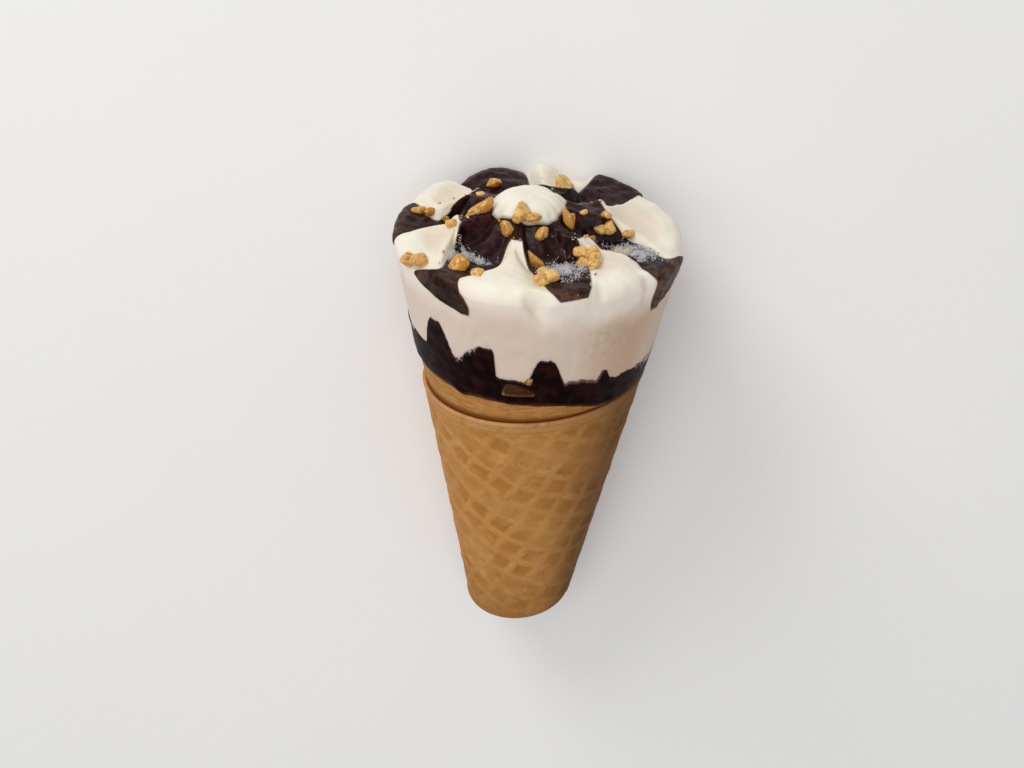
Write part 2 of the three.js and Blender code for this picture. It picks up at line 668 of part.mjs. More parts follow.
// 1 on a petal's root, which joins it to the dollop, falling to 0 in the streams beside it
function rootRise(column, radius) {
  if (column.petal !== undefined) return 1;
  const width = radians(columnAngle({ ...column, share: 1 }, 0)
    - columnAngle({ ...column, share: 0 }, 0)) * radius;
  const fromSide = Math.min(column.share, 1 - column.share) * width;
  return 1 - smooth(fromSide, 0, ROOT_RUN);
}

const STREAM_SAG = 0.5;

// Heights on the way from the crater's edge (0) to the rim (1)
function topHeight(column, way, station, radius) {
  const rim = rimHeight(column);
  const inner = petalValue(column, 'inner');
  const streamRim = petalValue(column, 'rim') - streamDrop(column);
  const floor = mix(CRATER_Z, streamRim, smooth(way, 0, 0.55))
    - STREAM_SAG * Math.sin(Math.PI * way);
  const across = column.petal === undefined ? 0 : 4 * column.share * (1 - column.share);
  const hollow = across * Math.sin(Math.PI * Math.min(1, way * 1.05));
  const petal = mix(inner, rim, way) - petalValue(column, 'scoop') * hollow;
  const root = rootRise(column, radius) * (1 - smooth(way, 0.1, 0.45));
  return mix(floor, petal, Math.max(petalRise(column, station, radius), root));
}

// Height at which a column crosses the rim
function rimHeight(column) {
  const rim = petalValue(column, 'rim');
  const streamRim = rim - streamDrop(column);
  if (column.petal === undefined) return streamRim;
  const { crown, half, arch } = PETALS[column.petal];
  const away = Math.abs(column.share - crown) / half;
  return mix(streamRim, rim - arch * smooth(away, 0, 1), petalRise(column, 2, MID_RADIUS));
}

// How far a valley on the side lies under the round envelope
function grooveDepth(angle, z) {
  return GROOVES.reduce((sum, groove) => {
    const away = Math.abs(apart(angle, groove.angle)) / groove.half;
    const across = 1 - smooth(away, 0, 1);
    return sum + groove.depth * across * smooth(z, groove.foot, GROOVE_TOP);
  }, 0);
}

// Station of a column at a radius between the petals' roots and half way out
function innerStation(column, radius) {
  const start = petalValue(column, 'start');
  return THREE.MathUtils.clamp((radius - start) / (MID_RADIUS - start), 0, 1);
}

// The rows of the grid. Each gives every column a point on the outer surface, the way inwards
// from there, and whether the chocolate topping covers petals or only streams up to it.
function topRows() {
  const rows = [];
  const straightDown = new THREE.Vector3(0, 0, -1);
  const dollopPoint = (column, radius, z) => {
    const angle = columnAngle(column, 0);
    const lobes = DOLLOP_LOBES.reduce((sum, { count, size, from }) => (
      sum + size * Math.sin(radians(count * angle + from))), 1);
    const point = around(radius * lobes, angle, z);
    point.x += DOLLOP.x;
    point.y += DOLLOP.y;
    return point;
  };
  const edgePoint = (column) => dollopPoint(column, DOLLOP.edge, DOLLOP.top - DOLLOP.drop);
  const dollopRow = (at, covered) => rows.push({
    covered,
    at: (column) => ({ point: at(column), inward: straightDown }),
  });
  dollopRow((column) => dollopPoint(column, DOLLOP.crown / 2, DOLLOP.top - 0.3), 'none');
  dollopRow((column) => dollopPoint(column, DOLLOP.crown, DOLLOP.top - 1.3), 'none');
  dollopRow(edgePoint, 'edge');

  // The slope round the dollop, from its edge to the petals' roots and the streams' beginning
  const across = (column) => (column.petal === undefined ? 4 * column.share * (1 - column.share) : 0);
  const start = (column) => (
    petalValue(column, 'start') + streamValue(column, 'reach') * across(column));
  const ringPoint = (column) => {
    const root = petalValue(column, 'inner') - ROOT_DROP;
    const z = mix(CRATER_Z, root, rootRise(column, petalValue(column, 'start')));
    return around(start(column), columnAngle(column, innerStation(column, start(column))), z);
  };
  for (const share of [1 / 3, 2 / 3]) {
    dollopRow((column) => {
      const point = edgePoint(column).lerp(ringPoint(column), share);
      point.z = mix(DOLLOP.top - DOLLOP.drop, ringPoint(column).z, 1 - (1 - share) ** SLOPE_BEND);
      return point;
    }, 'all');
  }
  dollopRow(ringPoint, 'ring');

  const rise = (column) => petalRise(column, 2, MID_RADIUS);
  const rounding = (column) => mix(STREAM_ROUNDING, PETAL_ROUNDING, rise(column));
  const centreZ = (column) => rimHeight(column) - rounding(column);
  const rimStart = (column) => envelope(centreZ(column)) - rounding(column);
  const ways = [null, 0.22, 0.46, 0.72, 1];
  for (const way of ways) {
    rows.push({
      covered: way === null ? 'ring' : 'streams', // chocolate climbs a petal's inner end too
      at: (column) => {
        const run = rimStart(column) - start(column);
        const share = way ?? WALL_RUN / run;
        const radius = start(column) + share * run;
        const station = radius < MID_RADIUS
          ? innerStation(column, radius)
          : 1 + (radius - MID_RADIUS) / (rimStart(column) - MID_RADIUS);
        const z = topHeight(column, share, station, radius);
        return { point: around(radius, columnAngle(column, station), z), inward: straightDown };
      },
    });
  }
  for (const share of [1 / 3, 2 / 3, 1]) {
    const turn = share * Math.PI / 2;
    rows.push({
      covered: 'streams',
      onSide: share === 1,
      at: (column) => {
        const angle = columnAngle(column, 2 + share);
        const z = centreZ(column) + rounding(column) * Math.cos(turn);
        const radius = rimStart(column) + rounding(column) * Math.sin(turn)
          - grooveDepth(angle, z) * Math.sin(turn);
        const inward = around(-Math.sin(turn), angle, -Math.cos(turn));
        return { point: around(radius, angle, z), inward };
      },
    });
  }
  for (const station of [4, 5, TIP_STATION]) {
    rows.push({
      covered: 'streams',
      onSide: true,
      at: (column) => {
        const angle = columnAngle(column, station);
        const z = mix(centreZ(column), streamValue(column, 'end'), (station - 3) / (TIP_STATION - 3));
        const radius = envelope(z) - grooveDepth(angle, z);
        return { point: around(radius, angle, z), inward: around(-1, angle, 0) };
      },
    });
  }
  return rows;
}

// Whether chocolate covers the cell that lies under a row and after a column
function isCovered(row, nextRow, column) {
  if (row.covered === 'none') return false;
  if (nextRow.covered === 'all' || nextRow.covered === 'ring') return true;
  if (column.petal !== undefined) return false;
  return !(STREAMS[column.stream].short && nextRow.onSide);
}

// Both faces of the chocolate and the pocket for it, worked out on one grid
function topGrid() {
  const rows = topRows();
  const cells = rows.slice(0, -1).map((row, r) => COLUMNS.map(
    (column) => isCovered(row, rows[r + 1], column),
  ));
  const touching = (r, c) => {
    const left = (c + COLUMNS.length - 1) % COLUMNS.length;
    const at = (row, column) => Boolean(cells[row]?.[column]);
    return [at(r - 1, left), at(r - 1, c), at(r, left), at(r, c)];
  };
  const points = rows.map((row, r) => COLUMNS.map((column, c) => {
    const { point, inward } = row.at(column);
    const near = touching(r, c);
    const covered = near.every(Boolean);
    const beside = near.some(Boolean);
    const depth = covered ? TOPPING_DEPTH : TOPPING_EDGE;
    const pocket = beside ? depth : 0;
    const move = (distance) => point.clone().addScaledVector(inward, distance);
    return {
      outer: point,
      white: move(pocket),
      under: move(pocket - GAP),
      over: move(-(covered ? 0 : TOPPING_PROUD)),
    };
  }));
  return { points, cells };
}

const grid = topGrid();

// The ice cream's own body, from the dollop to the chocolate layer
function iceCreamSolid() {
  const skin = new Skin();
  const rings = grid.points.map((row) => row.map((p) => p.white));
  const sideStep = (share) => COLUMNS.map((column) => {
    const angle = columnAngle(column, TIP_STATION);
    const z = mix(streamValue(column, 'end'), LAYER_FOOT_Z, share);
    return around(envelope(z) - grooveDepth(angle, z), angle, z);
  });
  rings.push(sideStep(0.5), sideStep(1));
  skin.fan(new THREE.Vector3(DOLLOP.x, DOLLOP.y, DOLLOP.top), rings[0], 1);
  skin.rings(rings);
  skin.fan(new THREE.Vector3(0, 0, LAYER_FOOT_Z), rings[rings.length - 1], -1);
  return skin.solid().subtract(layerSolid(GAP));
}

// Streams, crater and leaves in one piece of chocolate
function toppingSolid() {
  const skin = new Skin();
  const { points, cells } = grid;
  const count = COLUMNS.length;
  cells.forEach((line, r) => line.forEach((covered, c) => {
    if (!covered) return;
    const next = (c + 1) % count;
    const before = (c + count - 1) % count;
    const corners = [points[r][c], points[r + 1][c], points[r + 1][next], points[r][next]];
    skin.quad(...corners.map((p) => p.over));
    skin.quad(corners[0].under, corners[2].under, corners[1].under, corners[0].under);
    skin.triangle(corners[0].under, corners[3].under, corners[2].under);
    const wall = (a, b) => skin.quad(a.over, a.under, b.under, b.over);
    if (!line[before]) wall(corners[0], corners[1]);
    if (!line[next]) wall(corners[2], corners[3]);
    if (!cells[r - 1]?.[c]) wall(corners[3], corners[0]);
    if (!cells[r + 1]?.[c]) wall(corners[1], corners[2]);
  }));
  return skin.solid();
}

const paint = (color, roughness) => new THREE.MeshStandardMaterial({
  color,
  roughness,
  metalness: 0,
});
const wafer = paint(0xb9824a, 0.8);
const cream = paint(0xf0e9dc, 0.5);
const chocolate = paint(0x2a1813, 0.4);

const plainCream = iceCreamSolid();
const plainTopping = toppingSolid();

const group = new THREE.Group();
group.add(meshOf('wafer_cone', waferSolid(), wafer));
group.add(meshOf('ice_cream_in_cone', fillingSolid(), cream));
group.add(meshOf('chocolate_layer', layerSolid(0), chocolate));
group.add(meshOf('ice_cream', withNuts(plainCream, 'cream', plainTopping), cream));
group.add(meshOf('chocolate_topping', withNuts(plainTopping, 'topping', plainCream), chocolate));

// Lay the cone down and put the origin under the middle of its box
group.applyMatrix4(LAY_DOWN);
group.updateMatrixWorld(true);
const box = new THREE.Box3().setFromObject(group, true);
const middle = box.getCenter(new THREE.Vector3());
group.position.sub(new THREE.Vector3(middle.x, middle.y, box.min.z));
group.updateMatrixWorld(true);

export default group;
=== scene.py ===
"""Dresses the packed ice cream cone: a filled wafer cone that lies on its side, front up.

Shapes are worked out upright in millimetres, with the cone's axis along Z and the middle of
the wafer's lip at the origin, and laid() turns them into the part's own frame in metres.
Angles go round the axis in degrees: 0 is the shown front (-Y) and 90 is +X.
"""

import math

import bpy
import numpy as np
from mathutils import Matrix, Vector


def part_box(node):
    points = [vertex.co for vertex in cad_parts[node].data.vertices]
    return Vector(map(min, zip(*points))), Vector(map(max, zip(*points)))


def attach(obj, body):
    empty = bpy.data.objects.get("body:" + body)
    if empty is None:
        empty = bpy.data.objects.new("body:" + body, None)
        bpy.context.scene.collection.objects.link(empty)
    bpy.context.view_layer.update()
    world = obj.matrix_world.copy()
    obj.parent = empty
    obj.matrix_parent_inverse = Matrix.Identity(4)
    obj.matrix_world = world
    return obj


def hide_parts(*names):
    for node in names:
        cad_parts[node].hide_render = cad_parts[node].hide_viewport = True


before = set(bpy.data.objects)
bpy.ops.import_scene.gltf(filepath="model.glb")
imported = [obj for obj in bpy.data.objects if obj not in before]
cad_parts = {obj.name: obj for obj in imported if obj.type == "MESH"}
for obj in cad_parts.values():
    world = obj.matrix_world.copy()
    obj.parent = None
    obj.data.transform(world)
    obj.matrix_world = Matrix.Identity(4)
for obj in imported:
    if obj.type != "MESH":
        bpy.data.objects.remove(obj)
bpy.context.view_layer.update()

# Driving sizes of the whole cone
LIP_RADIUS = 24.0
TAPER = 0.1946
HALF_ANGLE = math.atan(TAPER)
APEX_Z = -LIP_RADIUS / TAPER
GAP = 0.3
REST_FLAT_DEPTH = 0.4
TO_METRES = 0.001

# Wafer
OUTER_WRAP = 0.8
WAFER_WALL = 2.6
LIP_SLANT = 0.127
LIP_BAND = 2.6
TIP_Z = -64.2
TIP_SLANT = 0.1
TIP_ROUNDING = 3.2
WAFER_FLOOR = 2.6
WAFER_COLUMNS = 420
CELL_PITCH = 5.5
CELL_TURN = 25
CELL_DEPTH = 0.5
CELL_CENTRE = (18, -36)
RIDGE_HALF = 0.35
RIDGE_FOOT = 1.35
SEAM_ANGLE = -140
SEAM_STEP = 0.8
SEAM_FADE = 24
TIP_SPREAD = 0.6
FLOOR_RINGS = (0.06, 0.4, 0.8)
TIP_RINGS = (0.75, 0.45, 0.15)
INNER_WRAP_ROWS = 34
BAND_ROWS = 12
LATTICE_ROWS = 146
TIP_ROWS = 16

# Profile over the outer wrap's lip, from the groove outwards: its depth under the plain cone,
# its rise above the lip's line, and its shares of the pale band and of the painted shade in the groove
LIP_PROFILE = [
    (1.05, 0.0, 0, 1), (0.98, -0.12, 0, 1), (0.86, -0.13, 0, 0.9), (0.74, -0.04, 0.3, 0.5),
    (0.58, 0.03, 0.7, 0.2), (0.38, 0.04, 0.9, 0), (0.16, -0.06, 1, 0), (0.03, -0.28, 1, 0),
    (-0.05, -0.6, 1, 0),
]

# Chocolate layer above the wafer: its plain edge, the profile over that edge as depths under
# the plain cone and drops, then each tongue's angle, its half widths to the left and right,
# and its top
LAYER_COLUMNS = 720
LAYER_SIDE_ROWS = 46
LAYER_FOOT_Z = 5.1
LAYER_PLUG_Z = 1.0
LAYER_TOP_INSIDE = 8.6
LAYER_EDGE_Z = 11.4
LAYER_EDGE_SLANT = 2.1
COLLAR = 1.7
EDGE_PROFILE = [(0.6, 0.12), (0.2, 0.0), (0.02, 0.02), (-0.06, 0.12), (-0.12, 0.35)]
DRIP = {"angle": -33, "half": 4.5, "depth": 0.9}
TONGUES = [
    (-45, 10, 11.5, 21.1), (-36, 12, 12, 14), (-16.5, 22, 1.6, 18.9), (6, 8, 11, 17.5),
    (21, 8, 12, 11.6), (34, 3.5, 5, 12.9), (88, 11, 11, 15), (121, 9, 9, 18.4),
    (152, 10, 10, 13.6), (178, 9, 9, 16.2), (-153, 10, 10, 19.2), (-124, 8, 8, 14.4),
    (-98, 9, 9, 16.8),
]
LAYER_NUT = {"angle": -7, "z": 9.4, "wide": 8.28, "high": 6.0, "deep": 4.0, "proud": 0.45}
LAYER_CRUMB = {"angle": 0, "z": 12.0, "sunk": 0.4, "half": (1.0, 0.8, 0.9)}

# On the right the layer's foot droops over the inner wrap, down to the outer wrap's edge
DROOP = {"depth": 2.4, "from": 12, "full": 42, "fade": 80, "end": 110}
LIP_CLEARANCE = 0.45

# Dollop in the middle of the top
DOLLOP = {"x": -2.2, "y": 0.8, "top": 40.4, "edge": 7.5, "drop": 3.6}
DOLLOP_LOBES = [(3, 0.05, 20), (5, 0.035, -30)]
CRATER_Z = 31.6
SLOPE_BEND = 1.5
ROOT_DROP = 1.1
ROOT_RUN = 2.0

# The six chocolate streams in order round the axis. low and high are the angles of their two
# sides at seven stations: crater, half way out, where the rim starts to turn, three down the
# leaf, and the leaf's tip, which ends at the height end. dip is how far its middle lies under
# the rim, arch how much further down its two sides lie, and reach how much further out the
# crater's slope runs there.
STREAMS = [
    {"low": [-175, -174.5, -173, -171, -168, -163, -158.2], "end": 25.5, "dip": 1.2,
     "high": [-128, -138, -140, -143, -146, -151, -155.8], "arch": 2.2, "reach": 3},
    {"low": [-116, -98, -110, -109, -106, -100, -95.2], "end": 25, "dip": 1.6,
     "high": [-76, -83, -82, -82, -84, -88, -92.8], "arch": 0.4, "reach": 3},
    {"low": [-70, -54, -43, -53, -50, -41, -28.2], "end": 26.2, "dip": 0.6,
     "high": [-23, -23, -31, -29, -27, -25.5, -25.8], "arch": 0, "reach": 4.5},
    {"low": [-15, -1, 5.5, 10.5, 16, 18.5, 18], "end": 28.2, "dip": 0.3,
     "high": [36, 29, 22.5, 19, 19.5, 20, 20.4], "arch": 0, "reach": 2.2, "short": True},
    {"low": [43, 57, 50, 52, 52, 52, 53.8], "end": 24.6, "dip": 0.9,
     "high": [88, 77, 67, 79, 75, 66, 56.2], "arch": 0, "reach": 1},
    {"low": [118, 127, 132, 132, 133, 136, 140.8], "end": 26, "dip": 1,
     "high": [156, 155, 155.5, 154, 151, 147, 143.2], "arch": 0.3, "reach": 3},
]
TIP_STATION = 6
SHORT_ROWS = 11  # rows of the rim's bend that the short stream covers

# The six petals, each after the stream of the same number: the radius at which it starts, its
# height there and at the rim, and the depth of its hollow. crown is where across it the rim is
# highest, and arch how far the rim falls off over the share half on both sides of that.
PETALS = [
    {"start": 16, "inner": 36.6, "rim": 34, "scoop": 1.6, "crown": 0.5, "half": 0.5, "arch": 0.9},
    {"start": 15.8, "inner": 37.2, "rim": 33.4, "scoop": 1.6, "crown": 0.5, "half": 0.5, "arch": 0.4},
    {"start": 12.6, "inner": 37, "rim": 33.8, "scoop": 0.6, "crown": 0.5, "half": 0.5, "arch": 0.2},
    {"start": 12.2, "inner": 36.8, "rim": 34.6, "scoop": 1.1, "crown": 0.55, "half": 0.5, "arch": 0.8},
    {"start": 12.6, "inner": 37.4, "rim": 34, "scoop": 1.9, "crown": 0.5, "half": 0.5, "arch": 1},
    {"start": 13.2, "inner": 36.4, "rim": 34.9, "scoop": 1, "crown": 0.76, "half": 0.4, "arch": 3},
]
MID_RADIUS = 21.0
STREAM_COLUMNS = 30
PETAL_COLUMNS = 50
DOLLOP_ROWS = 18
SLOPE_ROWS = 25
WALL_ROWS = 8
PETAL_ROWS = 45
BEND_ROWS = 14
LEAF_ROWS = 32
SIDE_ROWS = 29
SOFTENING = 3
PETAL_ROUNDING = 3.2
STREAM_ROUNDING = 2.0
WALL_RUN = 1.3
EDGE_RUN = 1.9
FULL_SCOOP = 1.4  # a scoop at least this deep has the full beige painted shade
CREST_PETAL = 2
CREST_RUN = 6.0
STREAM_SAG = 0.5
GROOVES = [(1, 6, 1.6, 24), (47.5, 4.5, 0.9, 25)]  # angle, half width, depth, foot
GROOVE_TOP = 31.0
FOLD = {"top": 32.5, "foot": 24.0, "top_angle": -3.5, "foot_angle": 3.5, "half": 1.4, "depth": 0.4}

# Where the bright top turns into the painted beige shade of the side: higher on the front petal's lobe
SIDE_SHADE = {"z": 26.4, "half": 3.4, "lobe_angle": -14, "lobe_half": 12, "lobe_lift": 2.8}

# The rough icy patch on the side: the angles and heights between which it comes and goes
ICY_PATCH = {"angles": (18, 27, 42, 54), "heights": (15, 18, 23, 26)}

# Chocolate film over the top, and the leaves that it makes on the side
FILM = 0.3
FILM_LEAF = 0.4
FILM_EDGE_RUN = 0.5
FILM_SUNK = 0.12
FILM_UNDER = 0.5
DARK_LEAF = {"angle": -34, "half": 16, "share": 0.8}

# Chopped nuts: the middle, a little above the surface, length, width, turn, how far the far
# end is tilted up, and paleness. The last few are too small to be solids of their own.
NUTS = [
    (8.6, -14.3, 35.3, 2.8, 2.4, 60, 0, 0.7), (10.4, -14.6, 35.3, 2.8, 2.4, 10, 20, 0.9),
    (9.4, -16.2, 34, 2.6, 2.3, -30, 0, 0.5), (11.2, -18.5, 34.9, 2.4, 2.2, 40, 30, 0.6),
    (11.4, -16.3, 35.2, 2.8, 2.4, 80, 0, 0.8), (-25.3, -15.6, 32, 3, 2.8, -20, 0, 0.4),
    (-23.1, -17.3, 32.9, 3.2, 3, 30, -15, 0.6), (-12.5, -1.3, 36.5, 5.8, 2.5, 16, 43, 0.1),
    (-15.1, -18.6, 33.2, 4.3, 3.2, 29, 40, 0.2), (1, -24.3, 33.5, 2.8, 2.6, 20, 0, 0.6),
    (2.8, -23.1, 33.9, 2.8, 2.6, -40, 20, 0.8), (1.7, -21.8, 33.9, 2.8, 2.6, 70, 0, 0.5),
    (5.4, 17.4, 34.4, 4.8, 3.2, -29, -48, 0.6), (-3.6, -5.8, 38.8, 3.8, 3.4, 70, 40, 0.6),
    (-1.3, -6.8, 38.2, 3, 1.9, 0, 0, 0.2), (12.6, -2.3, 34.5, 2.4, 2.1, 5, 0, 0.5),
    (14.3, -2.7, 35.2, 2.6, 2.3, 50, 20, 0.5), (13.4, -1.2, 37.3, 1.9, 1.7, 0, 0, 0.4),
    (-0.4, -14.4, 32.7, 3.9, 2.2, -27, -42, 0.4), (5.6, -3.5, 37, 3.9, 2.2, -34, -65, 0.1),
    (-6.3, -8.1, 36.4, 3.3, 2.4, -20, -60, 0), (0.6, -9.2, 36.2, 3.3, 2, -20, 70, 0.3),
    (-11.2, -22.3, 33.5, 2.8, 2.4, -25, 0, 0.8), (-10.2, 18.9, 33.5, 3, 2.4, 15, 0, 0.3),
    (-22.8, 4.4, 32.8, 2.4, 2, 30, 0, 0), (-25.3, 5.9, 32.3, 2.6, 1.8, 10, 0, 0),
    (-17.5, -5.6, 35.5, 2.2, 1.8, 0, 0, 0.3), (18.4, -3.2, 34.1, 2.3, 1.9, 35, 0, 0.5),
    (9.1, 0.1, 37, 1.6, 1.2, 20, 0, 1), (-12.6, 7.6, 36, 1.6, 1.2, -30, 0, 0.8),
    (18.1, -9.1, 33.4, 1.6, 1.2, 70, 0, 0.5), (11, -2.9, 32.7, 1.4, 1.2, 20, 0, 0.9),
    (-19.6, 2.5, 32.5, 1.5, 1.2, 60, 0, 0.3),
]
NUT_THICK = 0.85
NUT_LUMPS = (1.12, 0.62, 0.5)

# A chopped lump: how many flat faces cut it, how near and how far they lie from its middle,
# how sharp its corners are and how far they may reach, on a ball of so many rows and columns
CHOP = {"faces": 11, "near": 0.72, "far": 1.0, "sharp": 13, "reach": 1.25}
BALL_ROWS = 14
BALL_COLUMNS = 20

# Where frost needles grow on the chocolate: angle, radius, spread round and outwards, how many
FROST = [
    (16, 19.4, 3.6, 4.2, 1500), (62, 20.5, 3.4, 4.4, 1700), (-44, 18.6, 4, 1.0, 600),
    (-58, 23.5, 2.2, 1.6, 260), (70, 25, 1.6, 2.0, 240),
]
NEEDLE_LENGTH = (0.4, 1.3)
NEEDLE_THICK = (0.04, 0.09)
NEEDLE_LIFT = 0.38
NEEDLE_SCATTER = 0.22

# Fine crumbs: how many, the range of their half length, and the share that is chocolate
CRUMB_COUNT = 46
CRUMB_HALF = (0.18, 0.42)
DARK_CRUMBS = 0.3


def mix(first, second, share):
    """The value a share of the way from the first to the second."""
    return first + (second - first) * share


def smooth(value, low, high):
    """0 below low and 1 above high, joined by 3t^2 - 2t^3."""
    share = np.clip((value - low) / (high - low), 0, 1)
    return share * share * (3 - 2 * share)


def window(value, opens, full, falls, ends):
    """1 between full and falls and 0 outside opens and ends, joined as smooth() does."""
    return smooth(value, opens, full) * (1 - smooth(value, falls, ends))


def bell(value):
    """1 at 0, falling off on both sides as exp(-t^2)."""
    return np.exp(-value ** 2)


def steps(count):
    """Even shares of a way walked in a number of steps, from the first step's end to 1."""
    return np.linspace(0, 1, count + 1)[1:]


def envelope(z):
    """Radius of the plain cone at a height."""
    return LIP_RADIUS + TAPER * z


def around(radius, angle, z):
    """Points at a distance from the axis, an angle in degrees and a height."""
    radius, turn, z = np.broadcast_arrays(radius, np.radians(angle), z)
    return np.stack([radius * np.sin(turn), -radius * np.cos(turn), z], -1)


def apart(angle, other):
    """How far one angle lies from another, from -180 to 180."""
    return (angle - other + 540) % 360 - 180


def angle_of(points):
    """Angle round the axis at which points lie, from -180 to 180."""
    return np.degrees(np.arctan2(points[..., 0], -points[..., 1]))


def right_shade(angle, start, full):
    """1 where the cone's right side gets painted shade, 0 on the left and at the back."""
    return window(apart(angle, 0), start, full, 110, 165)


def ripple(points, size, seed, waves=28):
    """Soft random relief of about -1 to 1: the scaled sum of sine waves of about one length,
    each along a random way of its own."""
    draw = np.random.default_rng(seed)
    way = draw.normal(size=(waves, points.shape[-1]))
    way /= np.linalg.norm(way, axis=1, keepdims=True) * size * draw.uniform(0.7, 1.5, (waves, 1))
    phase = draw.uniform(0, 2 * math.pi, waves)
    total = np.zeros(points.shape[:-1])
    for k in range(waves):
        total += np.sin(2 * math.pi * (points @ way[k]) + phase[k])
    return total * math.sqrt(1 / waves)


def lip_centre():
    """Middle of the wafer's lip in the part's frame, in millimetres. The filling's lowest
    corner is the front of its foot, whose place in the upright cone is known."""
    low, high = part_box("ice_cream_in_cone")
    foot = TIP_Z + WAFER_FLOOR + GAP
    foot_radius = envelope(foot) - WAFER_WALL - GAP
    return np.array([
        (low.x + high.x) / 2 / TO_METRES,
        low.y / TO_METRES + foot_radius * math.sin(HALF_ANGLE) - foot * math.cos(HALF_ANGLE),
        LIP_RADIUS * math.cos(HALF_ANGLE) - REST_FLAT_DEPTH,
    ])


LIP_CENTRE = lip_centre()


def turned(ways):
    """Directions of the upright cone as directions of the lying part: a turn about X."""
    x, y, z = np.moveaxis(np.asarray(ways, float), -1, 0)
    sine, cosine = math.sin(HALF_ANGLE), math.cos(HALF_ANGLE)
    return np.stack([x, y * sine + z * cosine, z * sine - y * cosine], -1)


def laid(points):
    """The upright cone's millimetres as the part's metres, with nothing under the resting strip."""
    placed = turned(points) + LIP_CENTRE
    placed[..., 2] = np.maximum(placed[..., 2], 0)
    return placed * TO_METRES


def normals(grid):
    """Outward unit normals of a grid closed across its columns: the cross product of the step
    down a column and the step to the next column."""
    down = np.gradient(grid, axis=0)
    across = np.roll(grid, -1, 1) - np.roll(grid, 1, 1)
    normal = np.cross(down, across)
    return normal / np.maximum(np.linalg.norm(normal, axis=-1, keepdims=True), 1e-9)


def softened(grid, passes):
    """The grid with each point moved to the weighted mean of itself and its four neighbours."""
    for _ in range(passes):
        grid = (np.roll(grid, 1, 1) + 2 * grid + np.roll(grid, -1, 1)) / 4
        inner = (grid[:-2] + 2 * grid[1:-1] + grid[2:]) / 4
        grid = np.concatenate([grid[:1], inner, grid[-1:]])
    return grid


def cell_corners(rows, columns):
    """The four corners of every cell of a grid closed across its columns, seen from outside."""
    r, c = np.meshgrid(np.arange(rows - 1), np.arange(columns), indexing="ij")
    right = (c + 1) % columns
    corners = [r * columns + c, (r + 1) * columns + c, (r + 1) * columns + right, r * columns + right]
    return np.stack(corners, -1)


def closed_grid(grid, top, bottom):
    """A grid of rings with a fan of triangles to one point at each end."""
    rows, columns = grid.shape[:2]
    points = np.concatenate([grid.reshape(-1, 3), [top], [bottom]])
    sides = cell_corners(rows, columns).reshape(-1, 4)
    here = np.arange(columns)
    after = (here + 1) % columns
    last = (rows - 1) * columns
    first_pole = np.full(columns, rows * columns)
    upper = np.stack([first_pole, here, after], -1)
    lower = np.stack([first_pole + 1, last + after, last + here], -1)
    return points, sides.tolist() + upper.tolist() + lower.tolist()


def with_poles(values):
    """Values on a grid, drawn out to the two end points that closed_grid adds."""
    return np.concatenate([values.ravel(), [values[0].mean()], [values[-1].mean()]])


def piece(name, points, faces, finish, stands_for=None, values=None):
    """One shown piece of the cone, from points of the upright cone and its faces."""
    mesh = bpy.data.meshes.new(name)
    mesh.from_pydata(laid(points).tolist(), [], faces)
    mesh.shade_smooth()
    for key, amounts in (values or {}).items():
        attribute = mesh.attributes.new(key, "FLOAT", "POINT")
        attribute.data.foreach_set("value", np.asarray(amounts, np.float32))
    mesh.materials.append(finish)
    made = bpy.data.objects.new(name, mesh)
    bpy.context.scene.collection.objects.link(made)
    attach(made, "root")
    if stands_for:
        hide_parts(stands_for)
    return made


# Materials


def tone(red, green, blue):
    """A colour given as it looks on a screen, 0 to 255, as the linear colour shaders take."""
    screen = np.array([red, green, blue]) / 255
    linear = np.where(screen <= 0.04045, screen / 12.92, ((screen + 0.055) / 1.055) ** 2.4)
    return (*linear.tolist(), 1.0)


class Value:
    """A socket of a material, whose sums and products add Math nodes."""

    def __init__(self, finish, socket):
        self.finish = finish
        self.socket = socket

    def math(self, operation, other):
        return self.finish.node("ShaderNodeMath", {"operation": operation}, {0: self, 1: other})

    def __add__(self, other):
        return self.math("ADD", other)

    __radd__ = __add__

    def __mul__(self, other):
        return self.math("MULTIPLY", other)

    __rmul__ = __mul__


